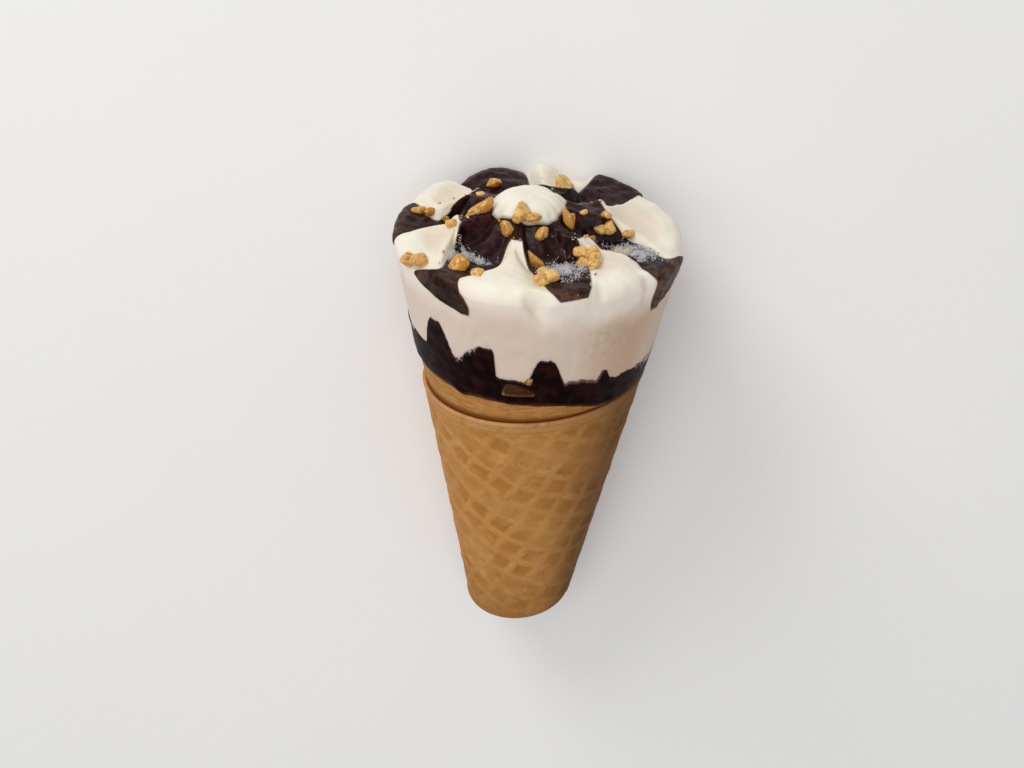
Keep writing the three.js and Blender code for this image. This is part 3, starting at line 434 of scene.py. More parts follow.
class Finish:
    """A material with one Principled shader, and the few kinds of node that this cone needs."""

    def __init__(self, name, **fixed):
        self.material = bpy.data.materials.new(name)
        self.material.use_nodes = True
        self.tree = self.material.node_tree
        self.shader = self.tree.nodes["Principled BSDF"]
        for key, value in fixed.items():
            self.shader.inputs[key.replace("_", " ")].default_value = value
        self.place = self.node("ShaderNodeTexCoord", output="Object")

    def feed(self, socket, value):
        """Links a value that varies to a socket, or sets a plain one on it."""
        if isinstance(value, Value):
            self.tree.links.new(value.socket, socket)
        else:
            socket.default_value = value

    def node(self, kind, settings=None, sockets=None, output=0):
        """A node of a type, its settings made first and then its sockets fed."""
        made = self.tree.nodes.new(kind)
        for key, value in (settings or {}).items():
            setattr(made, key, value)
        for key, value in (sockets or {}).items():
            self.feed(made.inputs[key], value)
        return Value(self, made.outputs[output])

    def amount(self, name):
        """A number that each point of the mesh holds."""
        return self.node("ShaderNodeAttribute", {"attribute_name": name}, output="Fac")

    def noise(self, size_mm, detail=3.0, rough=0.5, stretch=None):
        """Noise of about 0 to 1 with features of a size, stretched along the part's axes."""
        place = self.place
        if stretch:
            place = self.node("ShaderNodeMapping", sockets={"Vector": place, "Scale": stretch})
        return self.node("ShaderNodeTexNoise", sockets={
            "Vector": place, "Scale": 1 / (size_mm * TO_METRES), "Detail": detail, "Roughness": rough,
        })

    def step(self, value, low, high):
        """0 below low and 1 above high, joined smoothly."""
        return self.node("ShaderNodeMapRange", {"interpolation_type": "SMOOTHSTEP"}, {
            "Value": value, "From Min": low, "From Max": high,
        })

    def blend(self, first, second, share):
        """One colour turning into another, by a Mix node on colours."""
        return self.node("ShaderNodeMix", {"data_type": "RGBA"}, {0: share, 6: first, 7: second}, 2)

    def bump(self, height, depth_mm):
        """Fine relief, from a height of 0 to 1 that stands for a depth."""
        return self.node("ShaderNodeBump", sockets={
            "Height": height, "Distance": depth_mm * TO_METRES, "Strength": 1.0,
        })

    def wear(self, **varied):
        """Feeds the shader's inputs that vary over the surface, and gives back the material."""
        for key, value in varied.items():
            self.feed(self.shader.inputs[key.replace("_", " ")], value)
        return self.material


def cream_finish():
    """Frozen vanilla: warm white above, with a frosty grain, a rough icy patch and a brown stain
    right beside the chocolate. Painted shade makes it beige down the side and in the scoops,
    brown on the side's right and yellow-green in the creases and the fold."""
    f = Finish("vanilla ice cream", Subsurface_Weight=0.35, Subsurface_Scale=0.0016, IOR=1.35)
    f.shader.inputs["Subsurface Radius"].default_value = (1.0, 0.75, 0.5)
    f.shader.inputs["Specular IOR Level"].default_value = 0.35
    cloud = f.noise(7, 2)
    grain = f.noise(0.45, 4, 0.6)
    colour = f.blend(tone(241, 235, 217), tone(252, 237, 223), f.amount("flank"))
    # Painted shade: beige down the side, under the bright top
    colour = f.blend(colour, tone(230, 209, 191), f.amount("side"))
    # Painted shade: beige in the petals' hollows, fuller in deeper ones
    colour = f.blend(colour, tone(226, 205, 180), f.amount("scoop") * 0.7)
    # Painted shade: browner on the side's right, away from the light
    colour = f.blend(colour, tone(190, 147, 101), f.amount("shade"))
    # Painted shade: yellow-green in the creases and the fold
    colour = f.blend(colour, tone(222, 213, 176), f.amount("valley_shade") * 0.6)
    colour = f.blend(colour, tone(214, 198, 176), f.step(cloud, 0.45, 0.75) * 0.25)
    icy = f.amount("icy") * f.step(f.noise(1.3, 3, 0.6), 0.5, 0.68)
    colour = f.blend(colour, tone(196, 172, 150), icy * 0.55)
    colour = f.blend(colour, tone(104, 66, 42), f.amount("stain"))
    relief = grain * 0.35 + f.noise(1.8, 3) * 0.65 + f.amount("icy") * f.noise(0.8, 3) * 1.6
    return f.wear(Base_Color=colour, Roughness=grain * 0.25 + 0.36, Normal=f.bump(relief, 0.09))


def chocolate_finish():
    """Thin dark coating: glossy in the crater, satin grey-brown on the leaves, and brown where
    it thins out at an edge. Its lighter streaks are partly its own tone and partly painted sheen,
    and the brown line along a stream's lip, where it bends over the rim, is a painted highlight."""
    f = Finish("chocolate coating", IOR=1.45)
    f.shader.inputs["Specular IOR Level"].default_value = 0.15
    leaf = f.amount("leaf")
    streak = f.noise(2.2, 4, 0.6)
    fine = f.noise(0.35, 3, 0.6)
    # Lighter streaks: partly the coating's own tone, partly painted sheen
    colour = f.blend(tone(28, 9, 9), tone(72, 36, 36), f.step(streak, 0.4, 0.75))
    leaf_colour_and_sheen = f.blend(tone(32, 17, 11), tone(102, 72, 55), f.step(streak + fine * 0.2, 0.42, 0.76))
    colour = f.blend(colour, leaf_colour_and_sheen, leaf)
    colour = f.blend(colour, tone(20, 8, 4), f.amount("dim"))
    # Brown where the film thins at its border, and a painted highlight along the lip
    thinned = f.step(f.amount("rim") + streak * 0.5, 0.6, 1.2)
    colour = f.blend(colour, tone(112, 66, 44), thinned * 0.75)
    rough = mix(0.24, 0.44, leaf) + fine * 0.12
    relief = streak * 0.7 + fine * 0.3
    return f.wear(Base_Color=colour, Roughness=rough, Normal=f.bump(relief, 0.1))


def layer_finish():
    """The dark layer at the side: satin, with feathered white smears where it was wiped thin,
    and a soft brown edge where the ice cream shows through."""
    f = Finish("chocolate layer", IOR=1.45)
    f.shader.inputs["Specular IOR Level"].default_value = 0.03
    cloud = f.noise(2.6, 3)
    brush = f.noise(0.5, 4, 0.65, stretch=(1.0, 0.35, 1.0))
    colour = f.blend(tone(21, 6, 6), tone(42, 18, 15), f.step(cloud, 0.4, 0.7))
    colour = f.blend(colour, tone(128, 92, 84), f.amount("thin"))
    smear = f.step(brush + f.amount("smear") * 0.62, 0.82, 1.02)
    colour = f.blend(colour, tone(206, 192, 178), smear * 0.8)
    colour = f.blend(colour, tone(96, 58, 26), f.amount("foot"))
    relief = cloud * 0.4 + brush * 0.6
    return f.wear(Base_Color=colour, Roughness=brush * 0.2 + 0.34, Normal=f.bump(relief, 0.08))


def wafer_finish():
    """Baked wafer: pale worn ridges, darker browned cells and a smooth pale lip, with paler and
    browner patches, fine toasted speckles and a dry grain. Painted shade darkens the groove above
    the lip, the inner wrap's cracks and the right side; it is also darker towards the blunt end."""
    f = Finish("baked wafer", IOR=1.4, Subsurface_Weight=0.12, Subsurface_Scale=0.0006)
    f.shader.inputs["Specular IOR Level"].default_value = 0.25
    grain = f.noise(0.4, 4, 0.65)
    ridge = f.step(f.amount("crest") + grain * 0.3, 0.25, 1.0)
    cloud = f.step(f.noise(6, 3), 0.4, 0.7)
    pale_patch = f.step(f.noise(3.6, 4, 0.65), 0.53, 0.7)
    brown_patch = f.step(f.noise(2.4, 4, 0.7), 0.52, 0.68)
    speckle = f.step(f.noise(0.9, 4, 0.7), 0.56, 0.72)
    colour = f.blend(tone(176, 116, 49), tone(202, 145, 80), ridge)
    colour = f.blend(colour, tone(200, 147, 92), f.amount("band"))
    colour = f.blend(colour, tone(186, 122, 58), cloud * 0.5)
    colour = f.blend(colour, tone(216, 168, 108), pale_patch * 0.35)
    colour = f.blend(colour, tone(150, 96, 42), brown_patch * 0.35)
    colour = f.blend(colour, tone(140, 84, 34), speckle * 0.4)
    # Painted shade on the right side; also darker towards the tip
    colour = f.blend(colour, tone(94, 56, 10), f.amount("shade") * 0.82)
    # Painted shade in the groove above the lip, in the inner wrap's cracks and along the band's foot
    colour = f.blend(colour, tone(116, 64, 16), f.amount("groove_shade"))
    relief = grain * 0.6 + f.noise(1.4, 3) * 0.4
    return f.wear(Base_Color=colour, Roughness=grain * 0.2 + 0.62, Normal=f.bump(relief, 0.16))


def nut_finish(name="caramelised nuts", gloss=0.5):
    """Caramelised chopped nuts: amber glaze over a pale crumb, shiny and a little see-through, with
    pale flecks as painted highlights.
    """
    f = Finish(name, IOR=1.45, Subsurface_Weight=0.3, Subsurface_Scale=0.0008)
    f.shader.inputs["Subsurface Radius"].default_value = (1.0, 0.5, 0.2)
    f.shader.inputs["Specular IOR Level"].default_value = gloss
    spots = f.noise(0.9, 3, 0.6)
    painted_glints = f.step(f.noise(0.8, 3, 0.6), 0.54, 0.66)
    colour = f.blend(tone(210, 143, 30), tone(236, 194, 112), f.amount("pale"))
    colour = f.blend(colour, tone(168, 94, 16), f.step(spots, 0.5, 0.62) * 0.6)
    # Painted highlights: pale flecks
    colour = f.blend(colour, tone(248, 224, 176), painted_glints * 0.5)
    colour = f.blend(colour, tone(44, 16, 6), f.amount("dark"))
    crags = spots * 0.6 + f.noise(0.3, 3, 0.6) * 0.4
    return f.wear(
        Base_Color=colour, Roughness=spots * 0.3 + 0.14, Coat_Weight=spots * (1.8 * gloss),
        Normal=f.bump(crags, 0.3),
    )


def frost_finish():
    """Ice needles: white, a little grey in places at random."""
    f = Finish("frost", IOR=1.31, Subsurface_Weight=0.2, Subsurface_Scale=0.0004)
    colour = f.blend(tone(226, 220, 220), tone(252, 250, 250), f.noise(0.6, 2))
    return f.wear(Base_Color=colour, Roughness=f.noise(0.5) * 0.3 + 0.3)


# Wafer


def lip_height(angle):
    """The outer wrap's edge climbs to the right, as a slanting plane cuts a cylinder."""
    return LIP_SLANT * LIP_RADIUS * np.sin(np.radians(angle))


def layer_foot(angle):
    """Height of the chocolate layer's foot: level, but drooping on the right, and always a
    little above the outer wrap's edge. The inner wrap ends just under it."""
    share = window(apart(angle, 0), DROOP["from"], DROOP["full"], DROOP["fade"], DROOP["end"])
    return np.maximum(LAYER_FOOT_Z - DROOP["depth"] * share, lip_height(angle) + LIP_CLEARANCE)


def waffle(angle, z):
    """Height of the pressed pattern, from 0 in a cell to 1 on a ridge, and the share of it that
    is left where it is worn. The cone is unrolled to its flat sheet, turned to the pattern's own
    ways, and ridges with sloping sides stand a pitch apart, half way between cells' middles."""
    def sheet(turn, height):
        """Place on the unrolled sheet: the way down from the apex, turned by the sheet's angle."""
        slant = (height - APEX_Z) / math.cos(HALF_ANGLE)
        turn = np.radians(turn) * math.sin(HALF_ANGLE)
        return slant * np.sin(turn), slant * np.cos(turn)

    x, y = sheet(angle, z)
    x0, y0 = sheet(*CELL_CENTRE)
    turn = math.radians(CELL_TURN)
    along = (x - x0) * math.cos(turn) - (y - y0) * math.sin(turn)
    up = (x - x0) * math.sin(turn) + (y - y0) * math.cos(turn)
    flat = np.stack([x, y], -1)
    along = along / CELL_PITCH + 0.5 + 0.035 * ripple(flat, 9, 3)
    up = up / CELL_PITCH + 0.5 + 0.035 * ripple(flat, 9, 4)
    width = 1 + 0.18 * ripple(flat, 4, 5)
    ridges = [
        1 - smooth(np.abs(way - np.round(way)) * CELL_PITCH, RIDGE_HALF * width, RIDGE_FOOT * width)
        for way in (along, up)
    ]
    crest = np.maximum(*ridges)
    worn = np.clip(0.45 + 0.4 * ripple(flat, 13, 6), 0.1, 1)
    return crest, worn * (0.8 + 0.2 * np.sin(np.radians(angle)))


def wafer():
    """The rolled wafer: a profile carried round the axis, from the inside floor up the inner
    wall, over the inner wrap, down through the groove, over the outer wrap's lip, down the
    pressed outside and round the blunt end. The last turn dips under the first at the seam."""
    angle = SEAM_ANGLE + 360 * np.arange(WAFER_COLUMNS) / WAFER_COLUMNS
    lip = lip_height(angle)
    rows = []

    def ring(radius, z, crest=0.0, band=0.0, groove_shade=0.0):
        full = np.zeros_like(angle)
        rows.append([full + radius, full + z, full + crest, full + band, full + groove_shade])

    floor = TIP_Z + WAFER_FLOOR
    for share in FLOOR_RINGS:
        ring((envelope(floor) - WAFER_WALL) * share, floor)
    brink = layer_foot(angle) - GAP + 0.1 * ripple(np.stack([angle, angle * 0], -1), 14, 12)
    for share in np.linspace(0, 1, 8):
        z = mix(floor + 0.2, brink - 0.2, share)
        ring(envelope(z) - WAFER_WALL, z)
    ring(envelope(brink) - WAFER_WALL + 0.2, brink)
    inside_rows = len(rows)
    ring(envelope(brink) - 1.0, brink + 0.05, 0.6)
    for share in np.linspace(0, 1, INNER_WRAP_ROWS):
        z = mix(brink - 0.12, np.minimum(lip + 0.15, brink - 0.2), share)
        sheet_depth = mix(0.55, OUTER_WRAP, smooth(share, 0, 0.9))
        flakes = np.stack([angle * 0.16, z * 1.5], -1)
        flake = ripple(flakes, 1.5, 21) + 0.4 * ripple(flakes * np.array([5, 2]), 1.5, 22)
        fade = math.sin(math.pi * min(1, share * 1.1 + 0.04))
        crack = bell(flake / 0.13) * smooth(ripple(flakes, 4, 23), -0.6, 0.3) * fade
        # Painted shade in the cracks and down into the groove
        groove_shade = np.maximum(0.7 * crack, smooth(share, 0.62, 0.95))
        ring(envelope(z) - sheet_depth - 0.1 * crack, z, 0.5 + 0.2 * flake, 0.1 * fade, groove_shade)
    for depth, rise, band, groove_shade in LIP_PROFILE:
        ring(envelope(lip) - depth, lip + rise, 0.6, band, groove_shade)
    for share in np.linspace(0.08, 1, BAND_ROWS):
        z = lip - mix(0.6, LIP_BAND, share)
        # A thin sunk line at the band's foot, with painted shade in it
        line = bell((share - 0.96) / 0.05)
        relief = 0.04 - 0.07 * math.sin(math.pi * share) - 0.12 * line
        ring(envelope(z) + relief, z, 0.6, (1 - smooth(share, 0.6, 1)) * 0.9, 0.28 * line)
    lattice_foot = TIP_Z + TIP_ROUNDING + 0.8
    for share in np.linspace(0.005, 1, LATTICE_ROWS):
        z = mix(lip - LIP_BAND, lattice_foot, share)
        crest, left = waffle(angle, z)
        left = left * window(share, 0, 0.045, 0.97, 1.0)
        flat = np.stack([angle * 0.4, z], -1)
        uneven = 0.06 * ripple(flat, 5, 31) + 0.025 * ripple(flat, 1.1, 32)
        ring(envelope(z) + CELL_DEPTH * (crest - 1) * left + uneven, z, mix(0.68, crest, 0.14 + 0.62 * left))
    tip_radius = envelope(TIP_Z) + TIP_SPREAD
    base = TIP_Z + TIP_SLANT * envelope(TIP_Z) * np.sin(np.radians(angle))
    for share in np.linspace(0.05, 1, TIP_ROWS):
        turn = share * math.pi / 2
        inset = TIP_ROUNDING * (1 - math.cos(turn))
        ring(tip_radius - inset, base + TIP_ROUNDING * (1 - math.sin(turn)), 0.45)
    for share in TIP_RINGS:
        ring((tip_radius - TIP_ROUNDING) * share, mix(TIP_Z, base, share), 0.35)

    radius, z, crest, band, groove_shade = np.moveaxis(np.array(rows), 1, 0)
    outside = np.arange(len(rows))[:, None] >= inside_rows
    dip = SEAM_STEP * smooth(angle, SEAM_ANGLE + 360 - SEAM_FADE, SEAM_ANGLE + 360)
    radius = radius - dip * outside * smooth(-z, -3, 2)
    points, faces = closed_grid(around(radius, angle, z), [0, 0, floor], [0, 0, TIP_Z])
    # Painted shade on the right side; also darker towards the tip
    shade = np.maximum(right_shade(angle + z * 0, 8, 62), 0.35 * smooth(-z, 44, 64))
    piece("wafer", points, faces, wafer_finish(), "wafer_cone", {
        "crest": with_poles(crest), "band": with_poles(band),
        "groove_shade": with_poles(groove_shade), "shade": with_poles(shade),
    })


# Chocolate layer


def layer_edge(angle):
    """Ragged upper edge of the chocolate layer: the highest of a plain slanting edge and the
    tongues, each rounded at the top and steep or long at its two sides, with fine raggedness."""
    angle = np.asarray(angle, float)
    plain = LAYER_EDGE_Z - LAYER_EDGE_SLANT * np.sin(np.radians(angle))
    height = plain.copy()
    for middle, left, right, top in TONGUES:
        away = apart(angle, middle)
        away = np.where(away < 0, -away / left, away / right)
        height = np.maximum(height, mix(top, plain, smooth(away, 0.2, 1)))
    ring = around(10.0, angle, 0)
    return height + 0.16 * ripple(ring, 0.7, 41) + 0.1 * ripple(ring, 0.28, 42)


def layer():
    """The layer that runs through above the wafer: a profile carried round the axis, over the
    top inside, out to the ragged edge, down the side, in under the foot and down the plug."""
    angle = 360 * np.arange(LAYER_COLUMNS) / LAYER_COLUMNS
    signed = apart(angle, 0)
    edge = layer_edge(angle)
    circle = around(1.0, angle, 0)
    drip = DRIP["depth"] * bell((signed - DRIP["angle"]) / DRIP["half"])
    foot = layer_foot(angle) - 0.05 - drip + 0.12 * ripple(circle, 0.11, 43)
    rows = []

    def ring(radius, z, from_edge, at_foot=0.0):
        full = np.zeros_like(angle)
        rows.append([full + radius, full + z, full + from_edge, full + at_foot])

    low_edge = np.minimum(edge, LAYER_TOP_INSIDE + 3)
    ring(1.0, LAYER_TOP_INSIDE, 5)
    ring(12.0, LAYER_TOP_INSIDE, 5)
    ring(envelope(low_edge) - COLLAR - 2.2, LAYER_TOP_INSIDE, 5)
    ring(envelope(edge) - COLLAR, mix(LAYER_TOP_INSIDE, edge, 0.35), 3)
    ring(envelope(edge) - COLLAR * 0.8, edge - 0.6, 1)
    for depth, drop in EDGE_PROFILE:
        ring(envelope(edge) - depth, edge - drop, drop)
    for share in np.linspace(0.02, 1, LAYER_SIDE_ROWS):
        z = mix(edge - 0.35, foot + 0.2, share)
        bulge = 0.12 + 0.05 * ripple(np.stack([signed * 0.42, z], -1), 4, 44)
        tuck = 0.3 * smooth(foot + 1.2 - z, 0, 1.2)
        ring(envelope(z) + bulge - tuck, z, edge - z, smooth(share, 0.9, 1.0))
    ring(envelope(foot) - 0.35, foot, 9, 1)
    ring(envelope(foot) - 0.9, foot + 0.1, 9, 1)
    for z in (foot + 0.1, LAYER_PLUG_Z):
        ring(envelope(z) - WAFER_WALL - GAP, z, 9)
    ring(8.0, LAYER_PLUG_Z, 9)

    radius, z, from_edge, at_foot = np.moveaxis(np.array(rows), 1, 0)
    points, faces = closed_grid(around(radius, angle, z), [0, 0, LAYER_TOP_INSIDE], [0, 0, LAYER_PLUG_Z])

    def between(low, high, soft):
        """1 between two angles, falling to 0 over a soft stretch on both sides."""
        return window(signed, low - soft, low, high, high + soft)

    def near_edge(full, gone):
        """1 at the upper edge, falling to 0 between two distances from it."""
        return 1 - smooth(from_edge, full, gone)

    smear = near_edge(0.1, 2.4) * (0.6 * between(-34, -24, 3) + 0.35 * between(-72, -38, 4))
    smear = smear + 0.55 * between(58, 84, 8) * near_edge(0.5, 5)
    smear = smear + 0.3 * (1 - between(-60, 60, 8)) * near_edge(0.1, 2.4)
    thin = 0.8 * between(15, 31, 4) * near_edge(0.0, 1.0) + 0.25 * near_edge(0.0, 0.35)
    piece("chocolate_band", points, faces, layer_finish(), "chocolate_layer", {
        "smear": with_poles(smear), "thin": with_poles(thin), "foot": with_poles(at_foot * 0.6),
    })


# Top of the ice cream


def columns_of_the_top():
    """Whether each column lies on a petal, its number, and its share of the way across, from
    0 at one side. Columns stand closer together near both sides."""
    on_petal, number, share = [], [], []
    for k in range(len(STREAMS)):
        for petal, count in ((False, STREAM_COLUMNS), (True, PETAL_COLUMNS)):
            even = np.arange(count) / count
            on_petal += [petal] * count
            number += [k] * count
            share += mix(even, smooth(even, 0, 1), 0.6).tolist()
    return np.array(on_petal), np.array(number), np.array(share)


ON_PETAL, NUMBER, SHARE = columns_of_the_top()


def own_value(table, name):
    """Each column's value from the stream or the petal of its own number."""
    return np.array([row[name] for row in table], float)[NUMBER]


def petal_value(name):
    """Each column's value from its petal, carried evenly across the streams between petals."""
    values = np.array([petal[name] for petal in PETALS], float)
    return np.where(ON_PETAL, values[NUMBER], mix(values[NUMBER - 1], values[NUMBER], SHARE))


def stream_value(name):
    """Each column's value from its stream, carried evenly across the petals between streams."""
    values = np.array([stream[name] for stream in STREAMS], float)
    after = values[(NUMBER + 1) % len(STREAMS)]
    return np.where(ON_PETAL, mix(values[NUMBER], after, SHARE), values[NUMBER])


def side_angle(side, number, station):
    """Angle of one side of a stream at a station, on the cubic curve that passes through the
    stream's seven values with the slope of the neighbours on both sides."""
    table = np.array([stream[side] for stream in STREAMS + STREAMS[:1]], float)
    table[-1] += 360
    station = np.clip(station, 0, TIP_STATION - 1e-6)
    before = station.astype(int)
    t = station - before
    p = [table[number, np.clip(before + k, 0, TIP_STATION)] for k in (-1, 0, 1, 2)]
    slope_in, slope_out = (p[2] - p[0]) * 0.4, (p[3] - p[1]) * 0.4
    return (
        (2 * t ** 3 - 3 * t ** 2 + 1) * p[1] + (t ** 3 - 2 * t ** 2 + t) * slope_in
        + (3 * t ** 2 - 2 * t ** 3) * p[2] + (t ** 3 - t ** 2) * slope_out
    )


def sector_sides(station):
    """The two side angles of the stream or petal that each column lies on."""
    station = np.asarray(station, float)
    own_low = side_angle("low", NUMBER, station)
    own_high = side_angle("high", NUMBER, station)
    next_low = side_angle("low", NUMBER + 1, station)
    return np.where(ON_PETAL, own_high, own_low), np.where(ON_PETAL, next_low, own_high)


def column_angle(station):
    """Angle of each column at a station: its share of the way between its sector's sides."""
    return mix(*sector_sides(station), SHARE)


def from_side(station, radius):
    """Distance of each column from the nearer side of its stream or petal."""
    low, high = sector_sides(station)
    return np.minimum(SHARE, 1 - SHARE) * np.radians(high - low) * radius


def stream_drop():
    """How far a stream, or the line between two streams under a petal, is below the rim."""
    at_side = np.array([stream["dip"] + stream["arch"] for stream in STREAMS])
    across_petal = mix(at_side[NUMBER], at_side[(NUMBER + 1) % len(STREAMS)], SHARE)
    across_stream = own_value(STREAMS, "dip") + own_value(STREAMS, "arch") * (2 * SHARE - 1) ** 2
    return np.where(ON_PETAL, across_petal, across_stream)


def petal_rise(station, radius):
    """1 on a petal, falling to 0 at its steep sides. The front petal's side towards the short
    stream opens out into a broad slope on its way to the rim."""
    low, high = sector_sides(station)
    width = np.radians(high - low) * radius
    opened = smooth(radius, 14, 26) * (NUMBER == CREST_PETAL)
    far_run = mix(EDGE_RUN, CREST_RUN, opened)
    near_rise = smooth(SHARE * width, -0.3, EDGE_RUN)
    far_rise = smooth((1 - SHARE) * width, -0.3, far_run)
    return near_rise * far_rise * ON_PETAL


def root_rise(radius):
    """1 on a petal's root, falling to 0 in the streams beside it."""
    return np.where(ON_PETAL, 1, 1 - smooth(from_side(0, radius), 0, ROOT_RUN))


def rim_height():
    """Height at which each column crosses the rim: a petal's arch or a stream's dip."""
    rim = petal_value("rim")
    stream_rim = rim - stream_drop()
    crown, half, arch = (own_value(PETALS, name) for name in ("crown", "half", "arch"))
    petal_rim = rim - arch * smooth(np.abs(SHARE - crown) / half, 0, 1)
    return np.where(ON_PETAL, mix(stream_rim, petal_rim, petal_rise(2, MID_RADIUS)), stream_rim)


def top_height(way, station, radius):
    """Height on the way from the crater (0) to the rim (1): a stream's floor, which climbs to
    the rim with a slight sag, or a petal's slope with its hollow scooped out."""
    rim = rim_height()
    stream_rim = petal_value("rim") - stream_drop()
    floor = mix(CRATER_Z, stream_rim, smooth(way, 0, 0.55)) - STREAM_SAG * np.sin(math.pi * way)
    across = np.where(ON_PETAL, 4 * SHARE * (1 - SHARE), 0)
    hollow = across * np.sin(math.pi * np.minimum(1, way * 1.05))
    petal = mix(petal_value("inner"), rim, way) - petal_value("scoop") * hollow
    root = root_rise(radius) * (1 - smooth(way, 0.1, 0.45))
    return mix(floor, petal, np.maximum(petal_rise(station, radius), root))


def groove_depth(angle, z):
    """How far a valley on the side lies under the round envelope."""
    total = 0
    for middle, half, depth, foot in GROOVES:
        across = 1 - smooth(np.abs(apart(angle, middle)) / half, 0, 1)
        total = total + depth * across * smooth(z, foot, GROOVE_TOP)
    return total


def fold(angle, z):
    """The narrow fold down the shown front, which bends to the right: 1 on its line, falling
    off on both sides as a bell curve, and fading out at its two ends."""
    line = mix(FOLD["top_angle"], FOLD["foot_angle"], smooth(z, FOLD["top"], FOLD["foot"]))
    ends = window(z, FOLD["foot"], FOLD["foot"] + 2.5, FOLD["top"] - 1, FOLD["top"] + 1)
    return bell(apart(angle, line) / FOLD["half"]) * ends


def dollop_ring(share):
    """A ring of the dollop at a share of its radius: flat-topped, with its edge bent down, and
    an outline with a few broad lobes and fine raggedness towards the edge."""
    angle = column_angle(0)
    lobes = 1 + sum(size * np.sin(np.radians(count * angle + turn)) for count, size, turn in DOLLOP_LOBES)
    circle = around(DOLLOP["edge"], angle, 0)
    ragged = 0.035 * ripple(circle, 2.6, 51) + 0.006 * ripple(circle, 1.1, 52)
    drop = DOLLOP["drop"] * (share ** 4.2) * (1 + 0.2 * ripple(circle, 4.5, 53) * share)
    point = around(DOLLOP["edge"] * share * (lobes + ragged * share ** 2), angle, DOLLOP["top"] - drop)
    return point + np.array([DOLLOP["x"], DOLLOP["y"], 0])


def top_grid():
    """Points of the ice cream's outside, row by row from the dollop's middle to the side under
    the leaves, and the number of the row at which each stretch ends."""
    rows, marks = [], {}
    start = petal_value("start")
    across = np.where(ON_PETAL, 0, 4 * SHARE * (1 - SHARE))
    start = start + stream_value("reach") * across

    def inner_station(radius):
        """Station from 0 at the petals' starts to 1 at the middle radius."""
        own = petal_value("start")
        return np.clip((radius - own) / (MID_RADIUS - own), 0, 1)

    for share in np.linspace(0.05, 1, DOLLOP_ROWS):
        rows.append(dollop_ring(share))
    marks["edge"] = len(rows) - 1
    edge = rows[-1]
    root = mix(CRATER_Z, petal_value("inner") - ROOT_DROP, root_rise(petal_value("start")))
    ring = around(start, column_angle(inner_station(start)), root)
    for share in steps(SLOPE_ROWS):
        point = mix(edge, ring, share)
        point[:, 2] = mix(edge[:, 2], ring[:, 2], 1 - (1 - share) ** SLOPE_BEND)
        rows.append(point)
    marks["ring"] = len(rows) - 1

    rise = petal_rise(2, MID_RADIUS)
    rounding = mix(STREAM_ROUNDING, PETAL_ROUNDING, rise)
    centre_z = rim_height() - rounding
    rim_start = envelope(centre_z) - rounding
    run = rim_start - start

    def on_the_way(way):
        """Points on the top, a share of the way out from the ring to the rim."""
        radius = start + way * run
        inner = inner_station(radius)
        outer = 1 + (radius - MID_RADIUS) / (rim_start - MID_RADIUS)
        station = np.where(radius < MID_RADIUS, inner, outer)
        return around(radius, column_angle(station), top_height(way, station, radius))

    wall = on_the_way(WALL_RUN / run)
    for share in steps(WALL_ROWS):
        point = mix(ring, wall, share)
        point[:, 2] = mix(ring[:, 2], wall[:, 2], smooth(share, -0.15, 1.15))
        rows.append(point)
    for share in steps(PETAL_ROWS):
        rows.append(on_the_way(mix(WALL_RUN / run, 1, share)))
    marks["rim"] = len(rows) - 1
    for share in steps(BEND_ROWS):
        turn = share * math.pi / 2
        angle = column_angle(2 + share)
        z = centre_z + rounding * math.cos(turn)
        radius = rim_start + (rounding - groove_depth(angle, z)) * math.sin(turn)
        rows.append(around(radius, angle, z))
    marks["side"] = len(rows) - 1
    for share in steps(LEAF_ROWS):
        angle = column_angle(3 + 3 * share)
        z = mix(centre_z, stream_value("end"), share)
        rows.append(around(envelope(z) - groove_depth(angle, z), angle, z))
    marks["tip"] = len(rows) - 1
    angle = column_angle(TIP_STATION)
    end = stream_value("end")
    hem = white_foot(angle)
    for share in steps(SIDE_ROWS):
        z = mix(end, hem, share)
        rows.append(around(envelope(z) - groove_depth(angle, z), angle, z))
    return np.array(rows), marks


def white_foot(angle):
    """How far down the white side goes: just under the lowest of the layer's edge near by."""
    nearby = [layer_edge(angle + shift) for shift in (-2.4, -1.2, 0, 1.2, 2.4)]
    return np.minimum.reduce(nearby) - 0.5


def covered_cells(rows, marks):
    """Which cells of the top grid chocolate covers: all from the dollop's edge to the ring,
    then the streams alone, down to their leaves' tips, or to the rim on a short stream."""
    row = np.arange(rows - 1)[:, None]
    short = np.array([stream.get("short", False) for stream in STREAMS])[NUMBER]
    slope = (row >= marks["edge"]) & (row < marks["ring"])
    last = np.where(short, marks["rim"] + SHORT_ROWS, marks["tip"])
    streams = (row >= marks["ring"]) & (row < last) & ~ON_PETAL
    walls = (row >= marks["ring"]) & (row < marks["ring"] + WALL_ROWS - 1)
    return slope | streams | walls


def distance_inside(grid, cells):
    """Distance of each grid point to the nearest point on the chocolate's border, negative
    outside the chocolate. Points are taken a block at a time, to keep the table small."""
    padded = np.zeros((grid.shape[0] + 1, grid.shape[1]), bool)
    padded[1:-1] = cells
    left = np.roll(padded, 1, 1)
    around_point = np.stack([padded[:-1], padded[1:], left[:-1], left[1:]])
    covered = around_point.all(0)
    border = around_point.any(0) & ~covered
    points = grid.reshape(-1, 3).astype(np.float32)
    edge = grid[border].astype(np.float32)
    nearest = np.empty(len(points), np.float32)
    block = 6000
    for first in range(0, len(points), block):
        part = points[first:first + block]
        squares = (part ** 2).sum(1)[:, None] + (edge ** 2).sum(1)[None] - 2 * part @ edge.T
        nearest[first:first + block] = squares.min(1)
    nearest = np.sqrt(np.maximum(nearest, 0)).reshape(grid.shape[:2])
    nearest[border] = 0
    return np.where(covered | border, nearest, -nearest)


